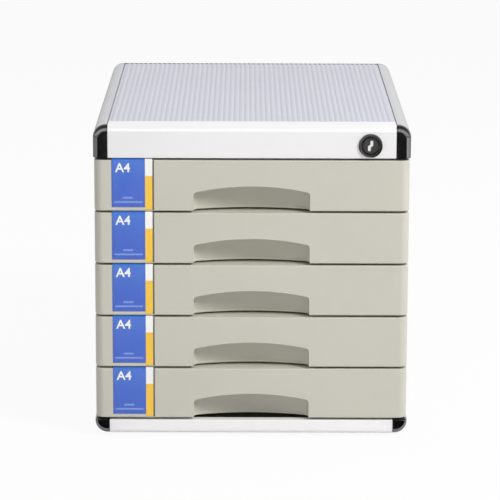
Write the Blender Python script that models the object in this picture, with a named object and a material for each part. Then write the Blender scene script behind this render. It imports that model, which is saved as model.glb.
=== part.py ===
"""Lockable desktop file cabinet with five A4 drawers.

The case is a frame of four extruded side rails, two front bands and four corner caps, which hold
a ribbed top, a base, two side panels and a back.  Each drawer is a moulded tray behind a hollow
moulded front with a scooped finger pull and a label pocket.  A key lock in the top band turns a
crank, which lifts a bar that runs down the right side and blocks every drawer.

Metres, +Z up.  The front faces -Y and X runs to the right as seen from the front.  The origin is
on the surface that the feet stand on, at the middle of the cabinet.
"""

import math

import bmesh
import bpy
from mathutils import Vector

# Clearances
seat_gap = 0.0003
slide_gap = 0.0008
cut_overrun = 0.004
merge_distance = 0.000003

# Case
case_width = 0.3018
case_depth = 0.397
top_band_height = 0.0315
bottom_band_height = 0.0138
foot_height = 0.003

# Drawers
drawer_count = 5
front_side_gap = 0.0009
front_height = 0.049
front_gap = 0.002

# Side rails, extruded
rail_radius = 0.012
rail_wall = 0.0016
rail_flange = 0.0132
rail_ledge = 0.006
ledge_drop = 0.0024
port_radius = 0.0031
screw_radius = 0.0016

# Front bands, extruded
band_wall = 0.0016
top_band_radius = 0.0065
bottom_band_radius = 0.0045
band_edge_radius = 0.001
band_return = 0.008
top_band_depth = 0.024

# Corner caps
cap_width = 0.0139
cap_depth = 0.009
cap_wall = 0.002
cap_edge_radius = 0.0025

# Panels
top_panel_line = 0.0008
rib_pitch = 0.0051
rib_height = 0.0009
rib_crest_share = 0.36
rib_foot_share = 0.62
base_thickness = 0.0025
back_thickness = 0.0025
back_rim_depth = 0.006
back_rim_wall = 0.002
back_rim_radius = 0.020
side_thickness = 0.0025
side_overlap = 0.008
screw_head_radius = 0.0034
screw_head_height = 0.0018
screw_dome_share = 0.72
screw_length = 0.014

# Feet
foot_radius = 0.009
foot_chamfer = 0.0012
foot_side_inset = 0.036
foot_end_inset = 0.045

# Drawer front
front_depth = 0.025
front_wall = 0.0022
front_corner_radius = 0.008
front_edge_radius = 0.0012
pull_width = 0.1109
pull_arch_middle = 0.0237
pull_arch_end = 0.0175
pull_depth_middle = 0.0205
pull_depth_end = 0.0105
pull_end_radius = 0.005
pull_corner_radius = 0.003
pull_roof_depth = 0.006
pull_roof_drop = 0.004
pull_bead_height = 0.0014
pull_bead_slope = 0.0012
pull_bead_depth = 0.0008

# Label pocket in the drawer front
label_left = 0.0169
label_blue_width = 0.0316
label_strip_width = 0.007
label_side_gap = 0.0016
label_lip_height = 0.0033
label_strip_lip_height = 0.0008
label_pocket_depth = 0.0017
label_pad_wall = 0.0022
label_stand_up = 0.0013
card_thickness = 0.0004
cover_thickness = 0.0005

# Tray
tray_wall = 0.002
tray_floor = 0.002
tray_corner_radius = 0.006
tray_bottom_radius = 0.002
tray_floor_radius = 0.003
tray_low = 0.0035
tray_high = 0.0455
tray_rear_room = 0.008
flange_thickness = 0.0022
flange_level = 0.0289
runner_wall = 0.002
runner_depth = 0.0072
runner_start = 0.053
hook_spacing = 0.126
hook_width = 0.010
hook_thickness = 0.002
hook_barb = 0.001
hook_reach = 0.0048

# Lock
lock_side_inset = 0.0386
lock_drop = 0.019
lock_flange_radius = 0.0114
lock_ring_radius = 0.0086
lock_proud = 0.002
lock_bevel = 0.0012
lock_step = 0.0007
barrel_radius = 0.0088
barrel_length = 0.023
plug_radius = 0.0076
plug_head_depth = 0.003
plug_body_radius = 0.0060
tang_width = 0.007
key_slot_height = 0.0105
key_slot_width = 0.0022
key_slot_jog = 0.0013
key_slot_depth = 0.006
nut_sides = 6
nut_thickness = 0.003
nut_flat_width = 0.021

# Crank and lock bar
crank_rest_degrees = -45
crank_radius = 0.007
crank_thickness = 0.002
crank_hub_radius = 0.0072
crank_pin_radius = 0.002
crank_pin_length = 0.0078
crank_eye_radius = 0.0036
crank_screw_radius = 0.0015
crank_screw_head = 0.0034
crank_screw_head_height = 0.0018
crank_screw_length = 0.008
slot_clearance = 0.0005
bar_thickness = 0.0015
bar_width = 0.012
bar_start = 0.0295
arm_half_height = 0.004
arm_overhang = 0.004
finger_level = 0.005
finger_height = 0.005
finger_depth = 0.0065
finger_wall_gap = 0.002
catch_gap = 0.001
catch_height = 0.008
catch_depth = 0.0065
catch_radius = 0.0008
bar_channel_wall = 0.0012
bar_side_gap = 0.0004

# How finely round forms are divided
corner_steps = 6
fillet_steps = 3
bend_steps = 2
round_steps = 32
small_round_steps = 16
pull_steps = 14

# Places that follow from the sizes above
half_width = case_width / 2
front_width = case_width - 2 * front_side_gap
case_low = foot_height
case_high = (case_low + bottom_band_height + top_band_height
             + drawer_count * front_height + (drawer_count + 1) * front_gap)
front_y = lock_proud - (lock_proud + case_depth + screw_head_height) / 2
rear_y = front_y + case_depth
drawer_pitch = front_height + front_gap
lowest_front = case_low + bottom_band_height + front_gap
panel_front_y = front_y + front_depth + seat_gap
side_outer_x = half_width - rail_wall - seat_gap
side_inner_x = side_outer_x - side_thickness
bar_outer_x = side_inner_x - seat_gap
bar_inner_x = bar_outer_x - bar_thickness
flange_tip_x = bar_inner_x - slide_gap
runner_tip_x = side_inner_x - runner_depth
tray_half_width = runner_tip_x - slide_gap
tray_front_y = front_depth + seat_gap
tray_rear_y = case_depth - back_thickness - back_rim_depth - tray_rear_room
bar_y = front_y + bar_start
finger_y = bar_start + (bar_width - finger_depth) / 2
catch_y = finger_y + finger_depth + catch_gap
lock_x = half_width - lock_side_inset
lock_z = case_high - lock_drop
pin_rest_x = lock_x + crank_radius * math.cos(math.radians(crank_rest_degrees))
pin_rest_z = lock_z + crank_radius * math.sin(math.radians(crank_rest_degrees))
bar_travel = 2 * (lock_z - pin_rest_z)

# Colours
greige = (0.50, 0.485, 0.42)
silver = (0.78, 0.78, 0.80)
pale_grey = (0.70, 0.70, 0.75)
dark_grey = (0.12, 0.12, 0.13)
rubber_black = (0.03, 0.03, 0.03)
label_blue = (0.05, 0.19, 0.66)
clear_white = (0.9, 0.9, 0.9)
clear_alpha = 0.3


def clear_scene():
    for old in list(bpy.data.objects):
        bpy.data.objects.remove(old, do_unlink=True)


def finish(name, colour, roughness, metallic=0.0, alpha=1.0):
    """A plain surface finish."""
    material = bpy.data.materials.new(name)
    material.use_nodes = True
    shader = material.node_tree.nodes["Principled BSDF"]
    shader.inputs["Base Color"].default_value = (*colour, 1.0)
    shader.inputs["Roughness"].default_value = roughness
    shader.inputs["Metallic"].default_value = metallic
    shader.inputs["Alpha"].default_value = alpha
    return material


def add_object(name, mesh, material=None, parent=None):
    obj = bpy.data.objects.new(name, mesh)
    bpy.context.scene.collection.objects.link(obj)
    if material is not None:
        mesh.materials.clear()
        mesh.materials.append(material)
    obj.parent = parent
    return obj


def smooth(mesh, angle=math.radians(35)):
    mesh.shade_smooth()
    mesh.set_sharp_from_angle(angle=angle)


def mesh_from(bm, name):
    bmesh.ops.remove_doubles(bm, verts=bm.verts, dist=merge_distance)
    bmesh.ops.recalc_face_normals(bm, faces=bm.faces)
    mesh = bpy.data.meshes.new(name)
    bm.to_mesh(mesh)
    bm.free()
    smooth(mesh)
    return mesh


def place(u, v, axis, along):
    """A point of an outline: u and v are x and z on the Y axis, y and z on X, x and y on Z."""
    if axis == "X":
        return Vector((along, u, v))
    if axis == "Y":
        return Vector((u, along, v))
    return Vector((u, v, along))


def prism(name, outline, axis, low, high):
    """An outline extruded along an axis."""
    bm = bmesh.new()
    face = bm.faces.new([bm.verts.new(place(u, v, axis, low)) for u, v in outline])
    grown = bmesh.ops.extrude_face_region(bm, geom=[face])
    moved = [item for item in grown["geom"] if isinstance(item, bmesh.types.BMVert)]
    bmesh.ops.translate(bm, verts=moved, vec=place(0, 0, axis, high - low))
    return mesh_from(bm, name)


def block(name, low, high):
    """A box between two corners."""
    outline = [(low[0], low[1]), (high[0], low[1]), (high[0], high[1]), (low[0], high[1])]
    return prism(name, outline, "Z", low[2], high[2])


def loft(name, loops, ring=False):
    """Closed loops of equal count, joined in turn, with both ends filled or joined in a ring."""
    bm = bmesh.new()
    rows = [[bm.verts.new(point) for point in loop] for loop in loops]
    pairs = list(zip(rows, rows[1:]))
    if ring:
        pairs.append((rows[-1], rows[0]))
    for near, far in pairs:
        for i in range(len(near)):
            j = (i + 1) % len(near)
            bm.faces.new((near[i], near[j], far[j], far[i]))
    if not ring:
        bm.faces.new(rows[0])
        bm.faces.new(rows[-1])
    return mesh_from(bm, name)


def turned(name, profile, centre_x, centre_z, steps, ring=False):
    """A profile of (radius, y) points turned about an axis along Y."""
    loops = []
    for radius, y in profile:
        loops.append([
            Vector((centre_x + radius * math.cos(turn), y, centre_z + radius * math.sin(turn)))
            for turn in (2 * math.pi * i / steps for i in range(steps))
        ])
    return loft(name, loops, ring)


def arc(centre, radius, start, end, steps=corner_steps):
    """Points on a circle's arc, from one angle in degrees to another."""
    points = []
    for i in range(steps + 1):
        angle = math.radians(start + (end - start) * i / steps)
        points.append((centre[0] + radius * math.cos(angle), centre[1] + radius * math.sin(angle)))
    return points


def rounded_rectangle(low_u, low_v, high_u, high_v, radius, steps=corner_steps):
    return (arc((high_u - radius, low_v + radius), radius, -90, 0, steps)
            + arc((high_u - radius, high_v - radius), radius, 0, 90, steps)
            + arc((low_u + radius, high_v - radius), radius, 90, 180, steps)
            + arc((low_u + radius, low_v + radius), radius, 180, 270, steps))


def circle(u, v, radius, steps=round_steps):
    """A full circle whose first point is half a step round, so that none lies on a diagonal."""
    step = 360 / steps
    return arc((u, v), radius, step / 2, 360 - step / 2, steps - 1)


def boolean(obj, mesh, operation):
    """Cuts a hidden tool's mesh out of an object, or joins it on."""
    tool = add_object(obj.name + "_tool", mesh)
    tool.parent = obj.parent
    tool.hide_render = True
    tool.display_type = "WIRE"
    step = obj.modifiers.new(operation.title(), "BOOLEAN")
    step.operation = operation
    step.solver = "EXACT"
    step.object = tool
    return tool


def cut(obj, mesh):
    return boolean(obj, mesh, "DIFFERENCE")


def join(obj, mesh):
    return boolean(obj, mesh, "UNION")


def worked_mesh(obj, name):
    """The mesh that an object's modifiers make, for copies that share it."""
    bpy.context.view_layer.update()
    graph = bpy.context.evaluated_depsgraph_get()
    mesh = bpy.data.meshes.new_from_object(obj.evaluated_get(graph))
    mesh.name = name
    smooth(mesh)
    for item in [tool.object for tool in obj.modifiers] + [obj]:
        for step in item.modifiers:
            if step.object and step.object.name in bpy.data.objects:
                bpy.data.objects.remove(step.object, do_unlink=True)
        bpy.data.objects.remove(item, do_unlink=True)
    return mesh


def mirrored(outline, side):
    """An outline drawn for the right side, turned over for the left."""
    return outline if side > 0 else [(-u, v) for u, v in reversed(outline)]


def upright(outline, level, up):
    """An outline drawn with the case's edge at v = 0 and the inside below, set at a level."""
    if up > 0:
        return [(u, level + v) for u, v in outline]
    return [(u, level - v) for u, v in reversed(outline)]


def top_rail_outline():
    """Round corner, side leg, top flange, and the ledge that the top panel lies on."""
    centre = (half_width - rail_radius, -rail_radius)
    flange_x = half_width - rail_flange
    ledge_x = flange_x - rail_ledge
    inner = rail_radius - rail_wall
    web_x = flange_x + rail_wall
    web_angle = math.degrees(math.acos((web_x - centre[0]) / inner))
    return ([(half_width, -top_band_height)]
            + arc(centre, rail_radius, 0, 90)
            + [(flange_x, 0), (flange_x, -ledge_drop), (ledge_x, -ledge_drop),
               (ledge_x, -ledge_drop - rail_wall), (web_x, -ledge_drop - rail_wall)]
            + arc(centre, inner, web_angle, 0)
            + [(half_width - rail_wall, -top_band_height)])


def bottom_rail_outline():
    """Round corner, short side leg, and the flange that the base panel lies on."""
    centre = (half_width - rail_radius, -rail_radius)
    ledge_x = half_width - rail_flange - rail_ledge
    inner = rail_radius - rail_wall
    return ([(half_width, -bottom_band_height)]
            + arc(centre, rail_radius, 0, 90)
            + [(ledge_x, 0), (ledge_x, -rail_wall)]
            + arc(centre, inner, 90, 0)
            + [(half_width - rail_wall, -bottom_band_height)])


def port_place(side, up):
    """Centre of a rail's screw port: inside the round corner, grown together with its wall."""
    reach = rail_radius - rail_wall - port_radius + rail_wall / 2
    offset = rail_radius - reach / math.sqrt(2)
    level = case_high - offset if up > 0 else case_low + offset
    return side * (half_width - offset), level


def make_rails(aluminium):
    low_y = front_y + cap_depth + seat_gap
    high_y = rear_y - back_thickness - seat_gap
    for side, side_name in ((-1, "left"), (1, "right")):
        for up, up_name in ((1, "top"), (-1, "bottom")):
            name = f"{up_name}_rail_{side_name}"
            drawn = top_rail_outline() if up > 0 else bottom_rail_outline()
            level = case_high if up > 0 else case_low
            outline = upright(mirrored(drawn, side), level, up)
            rail = add_object(name, prism(name, outline, "Y", low_y, high_y), aluminium)
            x, z = port_place(side, up)
            port = circle(x, z, port_radius, small_round_steps)
            join(rail, prism(name + "_port", port, "Y", low_y, high_y))
            bore = circle(x, z, screw_radius + seat_gap, small_round_steps)
            cut(rail, prism(name + "_bore", bore, "Y", low_y - cut_overrun, high_y + cut_overrun))


def make_front_bands(aluminium):
    half_length = half_width - cap_width - seat_gap
    r = top_band_radius
    t = band_wall
    h = top_band_height
    e = band_edge_radius
    outline = ([(band_return, -h)] + arc((e, e - h), e, 270, 180, fillet_steps)
               + arc((r, -r), r, 180, 90)
               + [(top_band_depth, 0), (top_band_depth, -t)]
               + arc((r, -r), r - t, 90, 180)
               + [(t, t - h), (band_return, t - h)])
    outline = [(front_y + y, case_high + z) for y, z in outline]
    mesh = prism("front_band_top", outline, "X", -half_length, half_length)
    band = add_object("front_band_top", mesh, aluminium)
    hole = circle(lock_x, lock_z, barrel_radius + seat_gap)
    cut(band, prism("lock_hole", hole, "Y", front_y - cut_overrun, front_y + t + cut_overrun))

    r = bottom_band_radius
    h = bottom_band_height
    back = cap_depth - seat_gap
    outline = ([(back, h)] + arc((e, h - e), e, 90, 180, fillet_steps)
               + arc((r, r), r, 180, 270)
               + [(back, 0), (back, t)]
               + arc((r, r), r - t, 270, 180)
               + [(t, h - t), (back, h - t)])
    outline = [(front_y + y, case_low + z) for y, z in outline]
    mesh = prism("front_band_bottom", outline, "X", -half_length, half_length)
    add_object("front_band_bottom", mesh, aluminium)


def cap_outline(height, outer_inset, inner_inset, radius):
    """Cap seen from the front, drawn for the top right: round on its outer top corner."""
    right = half_width - outer_inset
    top = -outer_inset
    left = half_width - cap_width + inner_inset
    bottom = inner_inset - height
    return ([(left, bottom), (right, bottom)] + arc((right - radius, top - radius), radius, 0, 90)
            + [(left, top)])


def make_corner_caps(chrome):
    """Hollow caps, open behind, whose front edge is rounded on the outer sides."""
    e = cap_edge_radius
    hollow_radius = min(rail_radius, cap_width - cap_wall - seat_gap,
                        bottom_band_height - cap_wall - seat_gap) - cap_wall
    edge = [(inset, 0, rail_radius - inset, y) for inset, y in arc((e, e), e, 270, 180, fillet_steps)]
    stations = edge + [(0, 0, rail_radius, cap_depth), (cap_wall, cap_wall, hollow_radius, cap_depth),
                       (cap_wall, cap_wall, hollow_radius, cap_wall + e)]
    for side, side_name in ((-1, "left"), (1, "right")):
        for up, up_name in ((1, "top"), (-1, "bottom")):
            height = top_band_height if up > 0 else bottom_band_height
            level = case_high if up > 0 else case_low
            loops = []
            for outer_inset, inner_inset, radius, y in stations:
                drawn = cap_outline(height, outer_inset, inner_inset, radius)
                outline = upright(mirrored(drawn, side), level, up)
                loops.append([place(u, v, "Y", front_y + y) for u, v in outline])
            name = f"corner_cap_{up_name}_{side_name}"
            add_object(name, loft(name, loops), chrome)


def make_top_panel(material):
    """Ribbed sheet that lies on the rails' ledges; its ribs run from front to back."""
    half = half_width - rail_flange - top_panel_line
    low = case_high - ledge_drop + seat_gap
    valley = case_high - rib_height
    count = int(2 * half / rib_pitch)
    crest = rib_pitch * rib_crest_share / 2
    foot = rib_pitch * rib_foot_share / 2
    outline = [(-half, low), (half, low), (half, valley)]
    for i in reversed(range(count)):
        middle = (i - (count - 1) / 2) * rib_pitch
        outline += [(middle + foot, valley), (middle + crest, case_high),
                    (middle - crest, case_high), (middle - foot, valley)]
    outline.append((-half, valley))
    low_y = front_y + top_band_depth + top_panel_line
    high_y = rear_y - back_thickness - seat_gap
    add_object("top_panel", prism("top_panel", outline, "Y", low_y, high_y), material)


def make_base_panel(material):
    """Flat sheet that lies on the bottom rails' flanges, as wide as their round corners allow."""
    low = case_low + rail_wall + seat_gap
    inner = rail_radius - rail_wall
    reach = math.sqrt(inner ** 2 - (rail_radius - rail_wall - seat_gap) ** 2)
    half = half_width - rail_radius + reach - seat_gap
    low_y = front_y + cap_depth + seat_gap
    high_y = rear_y - back_thickness - seat_gap
    mesh = block("base_panel", (-half, low_y, low), (half, high_y, low + base_thickness))
    add_object("base_panel", mesh, material)


def make_back_panel(material):
    """Back plate with the case's outline and a rim that stands inside the case."""
    rim_half = side_inner_x - seat_gap
    rim_low = case_low + rail_wall + base_thickness + 2 * seat_gap
    rim_high = case_high - ledge_drop - rail_wall - seat_gap
    inside_y = rear_y - back_thickness
    rim_y = inside_y - back_rim_depth
    plate = rounded_rectangle(-half_width, case_low, half_width, case_high, rail_radius)
    outer = rounded_rectangle(-rim_half, rim_low, rim_half, rim_high, back_rim_radius)
    w = back_rim_wall
    inner = rounded_rectangle(w - rim_half, rim_low + w, rim_half - w, rim_high - w, back_rim_radius - w)
    stations = ((plate, rear_y), (plate, inside_y), (outer, inside_y), (outer, rim_y), (inner, rim_y),
                (inner, inside_y))
    loops = [[place(u, v, "Y", y) for u, v in outline] for outline, y in stations]
    panel = add_object("back_panel", loft("back_panel", loops), material)
    for side in (-1, 1):
        for up in (-1, 1):
            x, z = port_place(side, up)
            hole = circle(x, z, screw_radius + seat_gap, small_round_steps)
            cut(panel, prism("screw_hole", hole, "Y", inside_y - cut_overrun, rear_y + cut_overrun))


def make_back_screws(steel):
    head_y = rear_y + seat_gap
    top_y = rear_y + screw_head_height
    dome = screw_head_radius * screw_dome_share
    for side, side_name in ((-1, "left"), (1, "right")):
        for up, up_name in ((1, "top"), (-1, "bottom")):
            x, z = port_place(side, up)
            name = f"back_screw_{up_name}_{side_name}"
            profile = [(screw_radius, rear_y - screw_length), (screw_radius, head_y),
                       (screw_head_radius, head_y), (screw_head_radius, (head_y + top_y) / 2),
                       (dome, top_y)]
            screw = add_object(name, turned(name, profile, x, z, small_round_steps), steel)
            slot = screw_radius / 2
            for across, along in ((dome, slot), (slot, dome)):
                cut(screw, block("drive_slot", (x - across, (head_y + top_y) / 2, z - along),
                                 (x + across, top_y + cut_overrun, z + along)))


def ribbed_board(name, side, low_y, high_y, low_z, high_z, ribs):
    """A board that stands along Y.  Each rib is (low y, high y, low z, high z, rise) inwards."""
    y_levels = sorted({low_y, high_y, *(y for rib in ribs for y in rib[0:2])})
    z_levels = sorted({low_z, high_z, *(z for rib in ribs for z in rib[2:4])})
    bm = bmesh.new()
    inner_x = side * side_inner_x
    grid = [[bm.verts.new((inner_x, y, z)) for z in z_levels] for y in y_levels]
    for near, far in zip(grid, grid[1:]):
        for i in range(len(near) - 1):
            bm.faces.new((near[i], far[i], far[i + 1], near[i + 1]))

    rim = [edge for edge in bm.edges if edge.is_boundary]
    grown = bmesh.ops.extrude_edge_only(bm, edges=rim)
    outer = [item for item in grown["geom"] if isinstance(item, bmesh.types.BMVert)]
    bmesh.ops.translate(bm, verts=outer, vec=(side * side_thickness, 0, 0))
    bmesh.ops.edgeloop_fill(bm, edges=[edge for edge in bm.edges if edge.is_boundary])

    for rise in sorted({rib[4] for rib in ribs}):
        chosen = []
        for face in bm.faces:
            middle = face.calc_center_median()
            on_board = all(abs(vert.co.x - inner_x) < seat_gap / 2 for vert in face.verts)
            if on_board and any(rib[4] == rise and rib[0] < middle.y < rib[1] and rib[2] < middle.z < rib[3]
                                for rib in ribs):
                chosen.append(face)
        raised = bmesh.ops.extrude_face_region(bm, geom=chosen)
        moved = [item for item in raised["geom"] if isinstance(item, bmesh.types.BMVert)]
        bmesh.ops.translate(bm, verts=moved, vec=(-side * rise, 0, 0))
        bmesh.ops.delete(bm, geom=chosen, context="FACES")
    return mesh_from(bm, name)


def make_side_panels(material):
    """Side walls with a groove for each tray's flange; the right one also guides the lock bar."""
    inner = rail_radius - rail_wall
    across = side_outer_x - (half_width - rail_radius)
    low_z = case_low + rail_radius - math.sqrt(inner ** 2 - across ** 2) + seat_gap
    high_z = case_high - top_band_height + side_overlap
    low_y = panel_front_y
    high_y = rear_y - back_thickness - seat_gap
    runner_y = front_y + runner_start
    runner_end_y = rear_y - back_thickness - back_rim_depth - slide_gap
    for side, side_name in ((-1, "left"), (1, "right")):
        ribs = []
        for i in range(drawer_count):
            flange_z = lowest_front + i * drawer_pitch + flange_level
            below = flange_z - seat_gap
            above = flange_z + flange_thickness + slide_gap
            ribs.append((runner_y, runner_end_y, below - runner_wall, below, runner_depth))
            ribs.append((runner_y, runner_end_y, above, above + runner_wall, runner_depth))
        if side > 0:
            guide_low = lowest_front
            guide_high = lock_z - crank_radius - arm_half_height - bar_channel_wall
            for edge in (bar_y - bar_side_gap - bar_channel_wall, bar_y + bar_width + bar_side_gap):
                ribs.append((edge, edge + bar_channel_wall, guide_low, guide_high, bar_thickness))
        name = f"side_panel_{side_name}"
        add_object(name, ribbed_board(name, side, low_y, high_y, low_z, high_z, ribs), material)


def make_feet(rubber):
    """Four pads under the base panel, with a chamfered lower edge."""
    top = case_low + rail_wall
    for side, side_name in ((-1, "left"), (1, "right")):
        for end_y, end_name in ((front_y + foot_end_inset, "front"), (rear_y - foot_end_inset, "rear")):
            centre_x = side * (half_width - foot_side_inset)
            rings = ((foot_radius - foot_chamfer, 0), (foot_radius, foot_chamfer), (foot_radius, top))
            loops = [[place(u, v, "Z", z) for u, v in circle(centre_x, end_y, radius, small_round_steps)]
                     for radius, z in rings]
            name = f"foot_{end_name}_{side_name}"
            add_object(name, loft(name, loops), rubber)


def front_outline(inset, back=front_depth):
    """Drawer front seen from above, pulled in on its front and sides by an inset."""
    x = front_width / 2 - inset
    radius = front_corner_radius - inset
    return ([(-x, back)]
            + arc((radius - x, inset + radius), radius, 180, 270)
            + arc((x - radius, inset + radius), radius, 270, 360)
            + [(x, back)])


def front_shell():
    """The front's outer block, its upper and lower edges rounded except along the open back."""
    e = front_edge_radius
    stations = (arc((e, e), e, 270, 180, fillet_steps)
                + arc((e, front_height - e), e, 180, 90, fillet_steps))
    loops = [[place(u, v, "Z", z) for u, v in front_outline(inset)] for inset, z in stations]
    return loft("front_shell", loops)


def front_cavity():
    """The hollow behind the front face, open at the back."""
    outline = front_outline(front_wall, front_depth + cut_overrun)
    return prism("front_cavity", outline, "Z", front_wall, front_height - front_wall)


def bowed(x, half, middle, end):
    """A circle's arc through a value at the middle and another at each end, at a place x."""
    rise = middle - end
    radius = (half ** 2 + rise ** 2) / (2 * rise)
    return middle - radius + math.sqrt(radius ** 2 - x ** 2)


def rounded_end(x, half, radius):
    """How far a corner round takes back an edge that is x from the middle."""
    past = max(0, abs(x) - (half - radius))
    return radius - math.sqrt(max(0, radius ** 2 - past ** 2))


def pull_solid(name, grow, bead):
    """The finger pull's space, or with grow the wall around it: bowed in front view and in plan."""
    half = pull_width / 2 + grow
    end_radius = pull_end_radius + grow
    corner_radius = pull_corner_radius + grow
    end_share = end_radius / half
    places = [-half, half]
    for i in range(fillet_steps + 1):
        reach = half - end_radius * (1 - math.sin(math.radians(90 * i / (fillet_steps + 1))))
        places += [-reach, reach]
    inside = half * (1 - end_share)
    places += [inside * (2 * i / pull_steps - 1) for i in range(1, pull_steps)]
    loops = []
    for x in sorted(set(places)):
        arch = bowed(x, pull_width / 2, pull_arch_middle, pull_arch_end) + grow
        arch -= rounded_end(x, half, corner_radius)
        depth = bowed(x, pull_width / 2, pull_depth_middle, pull_depth_end) + grow
        depth -= rounded_end(x, half, end_radius)
        outline = [(-cut_overrun, -cut_overrun), (-cut_overrun, arch)]
        for i in range(fillet_steps + 1):
            turn = math.radians(90 * i / fillet_steps)
            outline.append((depth - pull_roof_depth * (1 - math.sin(turn)),
                            arch - pull_roof_drop * (1 - math.cos(turn))))
        bead_y = depth - bead
        outline += [(depth, pull_bead_height + pull_bead_slope), (bead_y, pull_bead_height),
                    (bead_y, -cut_overrun)]
        loops.append([place(y, z, "X", x) for y, z in outline])
    return loft(name, loops)


def label_outline(left_room, right_room, blue_low, strip_low, high):
    """Label seen from the front: a blue field, and a narrow strip that reaches further down."""
    left = label_left - front_width / 2
    blue_right = left + label_blue_width
    right = blue_right + label_strip_width + right_room
    return [(left - left_room, blue_low), (blue_right, blue_low), (blue_right, strip_low),
            (right, strip_low), (right, high), (left - left_room, high)]


def hook_outline(x):
    """A snap hook seen from above: a rib's end that passes through the tray and holds it."""
    y0 = front_depth - hook_thickness
    y1 = tray_front_y + tray_wall + seat_gap
    y2 = front_depth + hook_reach
    return [(x, y0), (x + hook_thickness, y0), (x + hook_thickness, y1),
            (x + hook_thickness + hook_barb, y1), (x + hook_thickness, y2), (x, y2)]


def drawer_front_mesh():
    cavity = add_object("front_cavity", front_cavity())
    cut(cavity, pull_solid("pull_wall", front_wall, 0))
    pad = label_outline(label_pad_wall, label_side_gap + label_pad_wall, -cut_overrun, -cut_overrun,
                        front_height)
    cut(cavity, prism("label_pad", pad, "Y", -cut_overrun, label_pocket_depth + label_pad_wall))
    front = add_object("front", front_shell())
    for x in (-hook_spacing / 2, hook_spacing / 2):
        cut(cavity, block("rib", (x, -cut_overrun, -cut_overrun),
                          (x + hook_thickness, front_depth + 2 * cut_overrun, front_height + cut_overrun)))
    bpy.context.view_layer.update()
    hollow = worked_mesh(cavity, "front_hollow")
    cut(front, hollow)
    cut(front, pull_solid("pull", 0, pull_bead_depth))
    pocket = label_outline(seat_gap, label_side_gap, label_lip_height, label_strip_lip_height,
                           front_height + cut_overrun)
    cut(front, prism("label_pocket", pocket, "Y", -cut_overrun, label_pocket_depth))
    for x in (-hook_spacing / 2, hook_spacing / 2):
        middle = (tray_low + tray_high) / 2
        join(front, prism("hook", hook_outline(x), "Z", middle - hook_width / 2, middle + hook_width / 2))
    return worked_mesh(front, "drawer_front")


def tray_loop(inset, z):
    outline = rounded_rectangle(inset - tray_half_width, tray_front_y + inset, tray_half_width - inset,
                                tray_rear_y - inset, tray_corner_radius - inset, fillet_steps)
    return [place(u, v, "Z", z) for u, v in outline]


def tray_mesh():
    """Open box with rounded floor edges, side flanges and windows for the front's snap hooks."""
    low_bend = arc((tray_bottom_radius, tray_low + tray_bottom_radius), tray_bottom_radius, 270, 180,
                   bend_steps)
    floor_bend = arc((tray_wall + tray_floor_radius, tray_low + tray_floor + tray_floor_radius),
                     tray_floor_radius, 180, 270, bend_steps)
    section = low_bend + [(0, tray_high), (tray_wall, tray_high)] + floor_bend
    tray = add_object("tray", loft("tray_box", [tray_loop(inset, z) for inset, z in section]))
    flange_start = runner_start
    flange_end = tray_rear_y - tray_corner_radius
    root_x = tray_half_width - tray_wall / 2
    for side in (-1, 1):
        low_x, high_x = sorted((side * root_x, side * flange_tip_x))
        join(tray, block("flange", (low_x, flange_start, flange_level),
                         (high_x, flange_end, flange_level + flange_thickness)))
    middle = (tray_low + tray_high) / 2
    for x in (-hook_spacing / 2, hook_spacing / 2):
        cut(tray, block("hook_window",
                        (x - seat_gap, tray_front_y - cut_overrun, middle - hook_width / 2 - seat_gap),
                        (x + hook_thickness + hook_barb + seat_gap,
                         tray_front_y + tray_wall + cut_overrun / 2, middle + hook_width / 2 + seat_gap)))
    return worked_mesh(tray, "tray")


def lock_catch_mesh():
    """Block on the tray's right side, behind the lock bar's raised finger."""
    low = finger_level + bar_travel + (finger_height - catch_height) / 2
    outline = rounded_rectangle(tray_half_width + seat_gap, low, flange_tip_x, low + catch_height,
                                catch_radius, fillet_steps)
    return prism("lock_catch", outline, "Y", catch_y, catch_y + catch_depth)


def label_meshes():
    card_y = label_pocket_depth - seat_gap
    card = label_outline(0, 0, label_lip_height + seat_gap, label_strip_lip_height + seat_gap,
                         front_height + label_stand_up)
    cover_y = card_y - card_thickness - seat_gap
    cover = label_outline(0, 0, label_lip_height + seat_gap, label_strip_lip_height + seat_gap,
                          front_height)
    return (prism("label_card", card, "Y", card_y - card_thickness, card_y),
            prism("label_cover", cover, "Y", cover_y - cover_thickness, cover_y))


def make_drawers(plastic, card_finish, clear):
    """Five like drawers, the first at the top, each on an empty at its own slide."""
    front = drawer_front_mesh()
    tray = tray_mesh()
    catch = lock_catch_mesh()
    card, cover = label_meshes()
    for number in range(1, drawer_count + 1):
        slide = bpy.data.objects.new(f"drawer_{number}_slide", None)
        bpy.context.scene.collection.objects.link(slide)
        slide.location = (0, front_y, lowest_front + (drawer_count - number) * drawer_pitch)
        add_object(f"drawer_{number}_front", front, plastic, slide)
        add_object(f"drawer_{number}_tray", tray, plastic, slide)
        add_object(f"drawer_{number}_lock_catch", catch, plastic, slide)
        add_object(f"drawer_{number}_label_card", card, card_finish, slide)
        add_object(f"drawer_{number}_label_cover", cover, clear, slide)


def make_lock_housing(chrome):
    """Round face with a bevelled rim and a recess for the plug, on a long barrel."""
    face = front_y - lock_proud
    seat = front_y - seat_gap
    recess = face + lock_step
    head_end = front_y + plug_head_depth + seat_gap
    bore = plug_radius + seat_gap
    narrow = plug_body_radius + seat_gap
    profile = [(bore, recess), (lock_ring_radius, recess), (lock_ring_radius, face),
               (lock_flange_radius - lock_bevel, face), (lock_flange_radius, face + lock_bevel),
               (lock_flange_radius, seat), (barrel_radius, seat), (barrel_radius, front_y + barrel_length),
               (narrow, front_y + barrel_length), (narrow, head_end), (bore, head_end)]
    mesh = turned("lock_housing", profile, lock_x, lock_z, round_steps, ring=True)
    add_object("lock_housing", mesh, chrome)


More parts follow.
